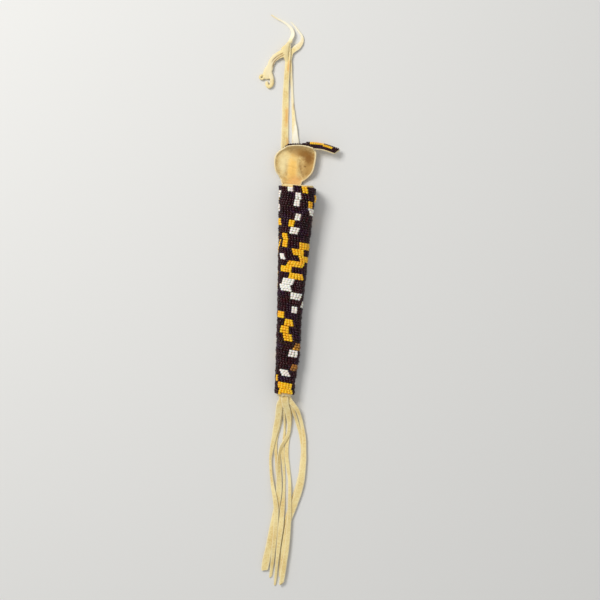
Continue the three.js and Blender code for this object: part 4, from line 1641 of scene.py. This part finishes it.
@dataclass
class Hanger:
    """The two hanger thongs and the lace that is knotted round them."""

    mouth: float = 72.5
    left_widths: tuple[float, ...] = (
        5.0, 5.2, 5.4, 5.6, 5.7, 5.6, 5.2, 4.7, 4.5, 4.5, 4.5, 4.4, 4.2, 3.9, 3.7, 3.5, 3.2, 2.3,
        2.8, 2.1, 1.4, 1.1, 0.7,
    )
    right_widths: tuple[float, ...] = (
        4.8, 5.0, 5.0, 5.0, 5.1, 5.1, 5.0, 4.2, 3.3, 2.6, 2.0, 1.7, 1.6, 1.6, 1.55, 1.5, 1.5, 3.2,
        4.4, 2.5, 1.4, 1.1, 0.6,
    )
    left_rolls: tuple[float, ...] = (0, -4, -4, 2, 4, 0, 0, 10, 24, 4, 0)
    right_rolls: tuple[float, ...] = (0, 0, 2, 10, 34, 12, -4, -10, 0, 6, 26, 0)
    voxel: float = 0.2
    smoothing_steps: int = 9
    smoothing: float = 0.5
    folds: tuple[LaceFold, ...] = (LaceFold(-0.1, 0.5, 0.66), LaceFold(-1.5, 0.6, 0.85))
    fold_width: float = 0.5

    def from_mouth(self, points: Sequence[Point]) -> list[Point]:
        """A route whose y was measured from the mouth, in the case's frame."""
        return [(x, self.mouth + y, z) for x, y, z in points]

    def left(self) -> Strip:
        """The left thong, the wider one, which ends in a thin tail above the knot."""
        route = self.from_mouth(HANGER_LEFT)
        return Strip(route, self.left_widths, rolls=self.left_rolls, cup=0.18, seed=3)

    def right(self) -> Strip:
        """The right thong, which twists on its way and ends in a thin tail."""
        route = self.from_mouth(HANGER_RIGHT)
        return Strip(route, self.right_widths, rolls=self.right_rolls, cup=0.1, seed=4)

    def branch_route(self) -> list[Point]:
        """The middle line of the doubled lace that hangs to the left."""
        return self.from_mouth((
            (-14.7, 93.4, 3.0), (-17.4, 91.8, 2.6), (-20.4, 89.9, 2.2), (-23.1, 86.9, 1.9),
            (-24.4, 83.0, 1.7), (-25.0, 79.4, 1.6), (-25.4, 77.6, 1.5),
        ))

    def lace_parts(self) -> list[Strip]:
        """The overlapping strips that the lace is melted from.

        They are the fan round the two thongs, the branch, the hook it ends in, the shoulder to
        the curl, the knob at the top of the fan, and the curl, which is a ring.
        """
        fan = (
            (-12.2, 101.2, 2.7), (-13.3, 98.0, 3.1), (-14.7, 94.5, 3.2), (-14.0, 91.0, 3.2),
            (-13.2, 88.4, 2.9), (-12.7, 85.6, 2.5),
        )
        hook = (
            (-25.4, 80.0, 1.5), (-23.4, 76.4, 1.5), (-22.4, 72.3, 1.5), (-22.9, 69.5, 1.5),
            (-24.4, 68.6, 1.5), (-25.8, 70.0, 1.5), (-26.1, 72.4, 1.5),
        )
        shoulder = (
            (-25.0, 82.5, 1.5), (-26.0, 79.4, 1.5), (-26.5, 76.6, 1.4), (-26.4, 73.9, 1.2),
        )
        knob = ((-12.9, 99.3, 3.1), (-11.5, 100.6, 3.5), (-10.0, 100.9, 2.9))
        turn = np.radians(np.linspace(60, 380, 9))
        ring = [(-29.8 + 1.3 * math.cos(a), 75.0 + 1.3 * math.sin(a), 1.5) for a in turn]
        return [
            Strip(
                self.from_mouth(fan), (1.4, 3.2, 5.9, 4.5, 3.0, 2.0),
                (1.4, 2.6, 3.2, 2.8, 1.5, 0.5), cup=-0.2, around=24, seed=7,
            ),
            Strip(
                self.branch_route(), (5.0, 5.0, 4.8, 4.5, 4.3, 4.6, 4.2),
                (2.4, 2.2, 2.0, 1.9, 2.0, 2.2, 2.0), cup=0.1, around=24, seed=8,
            ),
            Strip(
                self.from_mouth(hook), (3.6, 3.2, 2.9, 2.6, 2.4, 2.4, 1.8),
                (2.2, 2.2, 2.1, 2.0, 1.7), cup=-0.1, around=18, seed=9, step=0.4,
            ),
            Strip(
                self.from_mouth(shoulder), (4.2, 5.4, 5.4, 4.0), (2.0, 2.2, 2.0, 1.5),
                cup=-0.1, around=18, seed=10, step=0.4,
            ),
            Strip(
                self.from_mouth(knob), (1.4, 2.0, 1.7), (1.2, 1.5, 1.2), cup=-0.2, seed=12,
                step=0.3,
            ),
            Strip(
                self.from_mouth(ring), (1.5, 1.5, 1.3), (1.9, 1.8, 1.6), cup=0, seed=11, step=0.3,
            ),
        ]

    def knot(self, hide: bpy.types.Material) -> bpy.types.Object:
        """The knotted lace: a fan of folded hide with a forked end, a hook and a curl.

        Closed strips overlap and are then melted together by a voxel remesh, which gives the
        soft joints of wet-tied hide.

        Args:
            hide: Its material.

        Returns:
            The lace.
        """
        first, *others = [part.surface() for part in self.lace_parts()]
        for other in others:
            first = first.joined(other)
        rough = make_piece("knotted_lace", first)
        melt = rough.modifiers.new("melt", "REMESH")
        melt.mode, melt.voxel_size = "VOXEL", self.voxel * MM
        soften = rough.modifiers.new("soften", "SMOOTH")
        soften.iterations, soften.factor = self.smoothing_steps, self.smoothing
        graph = bpy.context.evaluated_depsgraph_get()
        melted = bpy.data.meshes.new_from_object(rough.evaluated_get(graph))
        rough.modifiers.clear()
        rough.data = melted
        melted.polygons.foreach_set("use_smooth", np.ones(len(melted.polygons), bool))
        self.press_folds(melted)
        dress(rough, hide)
        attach(rough, "case")
        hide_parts("hanger_knot")
        return rough

    def press_folds(self, mesh: bpy.types.Mesh) -> None:
        """Presses lengthwise folds into the melted lace and marks them for painted shade.

        Each fold is a bell-shaped valley at a distance from the branch's middle line. It has full
        strength on the upper face and none at the sides, and it fades out on the way to the hook.
        The value "crease" is 1 at the bottom of a fold, where the material paints the deepest shade.

        Args:
            mesh: The lace's mesh, in metres.
        """
        points = np.empty(len(mesh.vertices) * 3, np.float32)
        mesh.vertices.foreach_get("co", points)
        points = points.reshape(-1, 3).astype(float)
        route = even_route(self.branch_route(), 0.5)
        offsets = points[:, None, :2] / MM - route[None, :, :2]
        nearest = np.linalg.norm(offsets, axis=2).argmin(axis=1)
        tangent = unit(np.gradient(route[:, :2], axis=0))[nearest]
        away = offsets[np.arange(len(points)), nearest]
        side = away[:, 0] * tangent[:, 1] - away[:, 1] * tangent[:, 0]
        upper = smoothstep(points[:, 2] / MM, 1.6, 2.4) * np.exp(-((side / 2.6) ** 4))
        along = nearest / len(route)
        height = np.zeros(len(points))
        for fold in self.folds:
            bell = np.exp(-(((side - fold.aside + 0.5 * along) / self.fold_width) ** 2))
            fade = 1 - smoothstep(along, fold.reach - 0.2, fold.reach)
            height -= bell * fold.depth * upper * smoothstep(along, 0.02, 0.12) * fade
        points[:, 2] += height * MM
        mesh.vertices.foreach_set("co", points.astype(np.float32).ravel())
        # The mask for painted shade in the folds' valleys.
        crease = mesh.attributes.new("crease", "FLOAT", "POINT")
        mark = np.clip(-height / 0.45, 0, 1) ** 1.5
        crease.data.foreach_set("value", mark.astype(np.float32))
        mesh.update()

    def build(self, hide: bpy.types.Material) -> list[bpy.types.Object]:
        """Args:
            hide: Their material.

        Returns:
            The three pieces.
        """
        lace = self.knot(hide)
        pieces = [lace]
        for name, strip, tied in (("left", self.left(), (lace,)), ("right", self.right(), ())):
            piece = make_piece(f"hanger_{name}", strip.surface())
            dress(piece, hide)
            declare_thong(piece, strip, f"hanger_thong_{name}")
            pieces.append(piece)
        return pieces


# The studio


@dataclass
class Studio:
    """Floor, light and the camera straight above.

    The camera looks at the middle, turned by some degrees, and its picture is as wide as the
    frame. The lamp's place is in metres and its tilt in degrees.
    """

    middle: tuple[float, float] = (6.7, -6.3)
    turn: float = 3.61
    frame: float = 420.0
    lens: float = 135.0
    sensor: float = 36.0
    floor_size: float = 3000.0
    lamp_power: float = 10.0
    lamp_size: float = 0.45
    lamp_tone: Point = (1.0, 0.985, 0.96)
    lamp_place: Point = (-0.62, 0.55, 0.95)
    lamp_tilt: Point = (-30, -33, 0)
    world_strength: float = 0.5

    def build(self) -> None:
        """Makes the floor, the lamps, the world and the camera."""
        self.camera()
        self.floor()
        self.lights()
        bpy.context.scene.view_settings.view_transform = "Standard"

    def camera(self) -> None:
        """The camera: high above the middle of the picture, turned with it."""
        data = bpy.data.cameras.new("camera")
        data.lens, data.sensor_width = self.lens, self.sensor
        data.clip_start, data.clip_end = 0.01, 20
        camera = bpy.data.objects.new("camera", data)
        height = self.frame / self.sensor * self.lens
        camera.location = (self.middle[0] * MM, self.middle[1] * MM, height * MM)
        camera.rotation_euler = (0, 0, math.radians(self.turn))
        bpy.context.scene.collection.objects.link(camera)
        bpy.context.scene.camera = camera

    def floor(self) -> None:
        """A plain pale floor."""
        size = self.floor_size
        corners = np.array([(-size, -size, 0), (size, -size, 0), (size, size, 0), (-size, size, 0)])
        floor = make_piece("floor", Surface(corners, [[0, 1, 2, 3]]))
        shader = Shader("floor")
        floor.data.materials.append(shader.finish(Base_Color=colour(226, 226, 224), Roughness=0.9))

    def lights(self) -> None:
        """A soft key lamp from the upper left, and a pale world."""
        lamp = bpy.data.lights.new("key", "AREA")
        lamp.energy, lamp.size, lamp.color = self.lamp_power, self.lamp_size, self.lamp_tone
        key = bpy.data.objects.new("key", lamp)
        key.location = self.lamp_place
        key.rotation_euler = tuple(map(math.radians, self.lamp_tilt))
        bpy.context.scene.collection.objects.link(key)
        world = bpy.data.worlds.new("world")
        world.use_nodes = True
        tone, strength = world.node_tree.nodes["Background"].inputs[:2]
        tone.default_value, strength.default_value = (1.0, 1.0, 1.0, 1.0), self.world_strength
        bpy.context.scene.world = world


CREAM = colour(248, 230, 170)
CREAM_DEEP = colour(228, 198, 128)
CUT_EDGE = colour(252, 243, 210)
AMBER_STAIN = colour(232, 176, 92)
BROWN_STAIN = colour(160, 108, 52)


def hide_finish() -> HideFinish:
    """The tube's and lid's hide, with stains and patches of painted shade inside the lid."""
    return HideFinish(
        "tanned_hide", colour(240, 214, 150), colour(212, 176, 108), colour(248, 232, 190),
        # The fold tone is painted shade in the lid's creases.
        fold=colour(150, 108, 56),
        stains_and_shade=(
            # Darker tan over the lid's recessed right part: partly the hide's own tan, partly
            # painted shade.
            StainAndShade((7.0, 86.5, 5), (7.5, 12.0, 12), colour(186, 146, 82), 0.95),
            # Painted shade along the lid's turned-up far rim.
            StainAndShade((0.5, 96.8, 6), (12.0, 5.2, 12), colour(184, 142, 80), 0.85),
            StainAndShade((6.8, 93.2, 6), (5.8, 7.0, 12), colour(140, 94, 36), 0.95),
            StainAndShade((-11.0, 88.0, 5), (5.0, 12.0, 12), colour(250, 232, 176), 0.75),
            StainAndShade((-4.2, 84.0, 3), (5.4, 13.0, 12), colour(255, 206, 112), 0.9),
            StainAndShade((4.4, 86.8, 5), (1.0, 0.8, 4), colour(120, 84, 44), 0.8),
            StainAndShade((2.6, 96.0, 6), (5.8, 3.4, 12), colour(152, 108, 48), 0.8),
            StainAndShade((-1.6, 76.0, 3), (7.0, 6.0, 8), colour(250, 190, 116), 0.65),
        ),
    )


def thong_finish() -> HideFinish:
    """The thongs' hide: cream, amber stains on the hanger, a whiter stretch, painted shade in folds.
    """
    return HideFinish(
        # The fold tone is painted shade in the lace's folds.
        "thong_hide", CREAM, CREAM_DEEP, CUT_EDGE, fold=colour(146, 102, 58),
        stains_and_shade=(
            StainAndShade((-3.2, 106.0, 1), (4.0, 26.0, 8), colour(254, 250, 232), 0.95),
            StainAndShade((-7.2, 146.0, 0), (3.6, 30.0, 5), colour(252, 242, 210), 0.85),
            StainAndShade((-9.0, 184.0, 1), (26.0, 18.0, 8), colour(250, 244, 222), 0.95),
            StainAndShade((-24.0, 156.0, 2), (10.0, 17.0, 8), colour(246, 232, 192), 0.9),
            StainAndShade((-13.2, 167.0, 3), (5.0, 9.0, 6), colour(232, 214, 164), 0.6),
            StainAndShade((-10.2, 122.0, 1), (3.0, 11.0, 8), AMBER_STAIN, 0.8),
            StainAndShade((-8.2, 101.0, 1), (2.6, 9.0, 8), AMBER_STAIN, 0.85),
            StainAndShade((-11.4, 156.0, 2), (1.8, 7.0, 8), AMBER_STAIN, 0.8),
            StainAndShade((-5.4, 129.0, 1), (2.0, 4.5, 8), BROWN_STAIN, 0.8),
        ),
        fibre=(1.0, 0.22, 1.0),
    )


def glass_finishes() -> dict[Tint, BeadFinish]:
    """The glass of each colour."""
    return {
        Tint.DARK: BeadFinish(
            "dark_glass", tone=colour(6, 0, 2), other=colour(58, 8, 18), third=colour(36, 8, 46),
            dull=colour(20, 10, 10), gloss=0.08, shine=0.28,
        ),
        AMBER: BeadFinish(
            "amber_glass", tone=colour(255, 208, 24), other=colour(255, 184, 6),
            third=colour(255, 168, 20), dull=colour(136, 84, 40), gloss=0.2, drift=0.6, glow=0.3,
        ),
        WHITE: BeadFinish(
            "white_glass", tone=colour(255, 252, 244), other=colour(244, 238, 226),
            third=colour(240, 222, 214), dull=colour(210, 190, 170), gloss=0.24, glow=0.3,
        ),
    }


def main() -> None:
    """Builds the case, piece by piece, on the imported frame."""
    logging.basicConfig(level=logging.INFO, format="%(name)s: %(message)s")
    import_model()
    Studio().build()
    thong_hide = thong_finish().make()
    Hanger().build(thong_hide)
    Fringe().build(thong_hide)
    hide = hide_finish().make()
    glass = {tint: finish.make() for tint, finish in glass_finishes().items()}
    form = CaseForm()
    HideTube(form).build(hide)
    BeadWrap(form).build(glass, SinewFinish().make())
    lid = Lid(form)
    lid.flap(hide)
    lid.beads(glass)


if __name__ == "__main__":
    main()
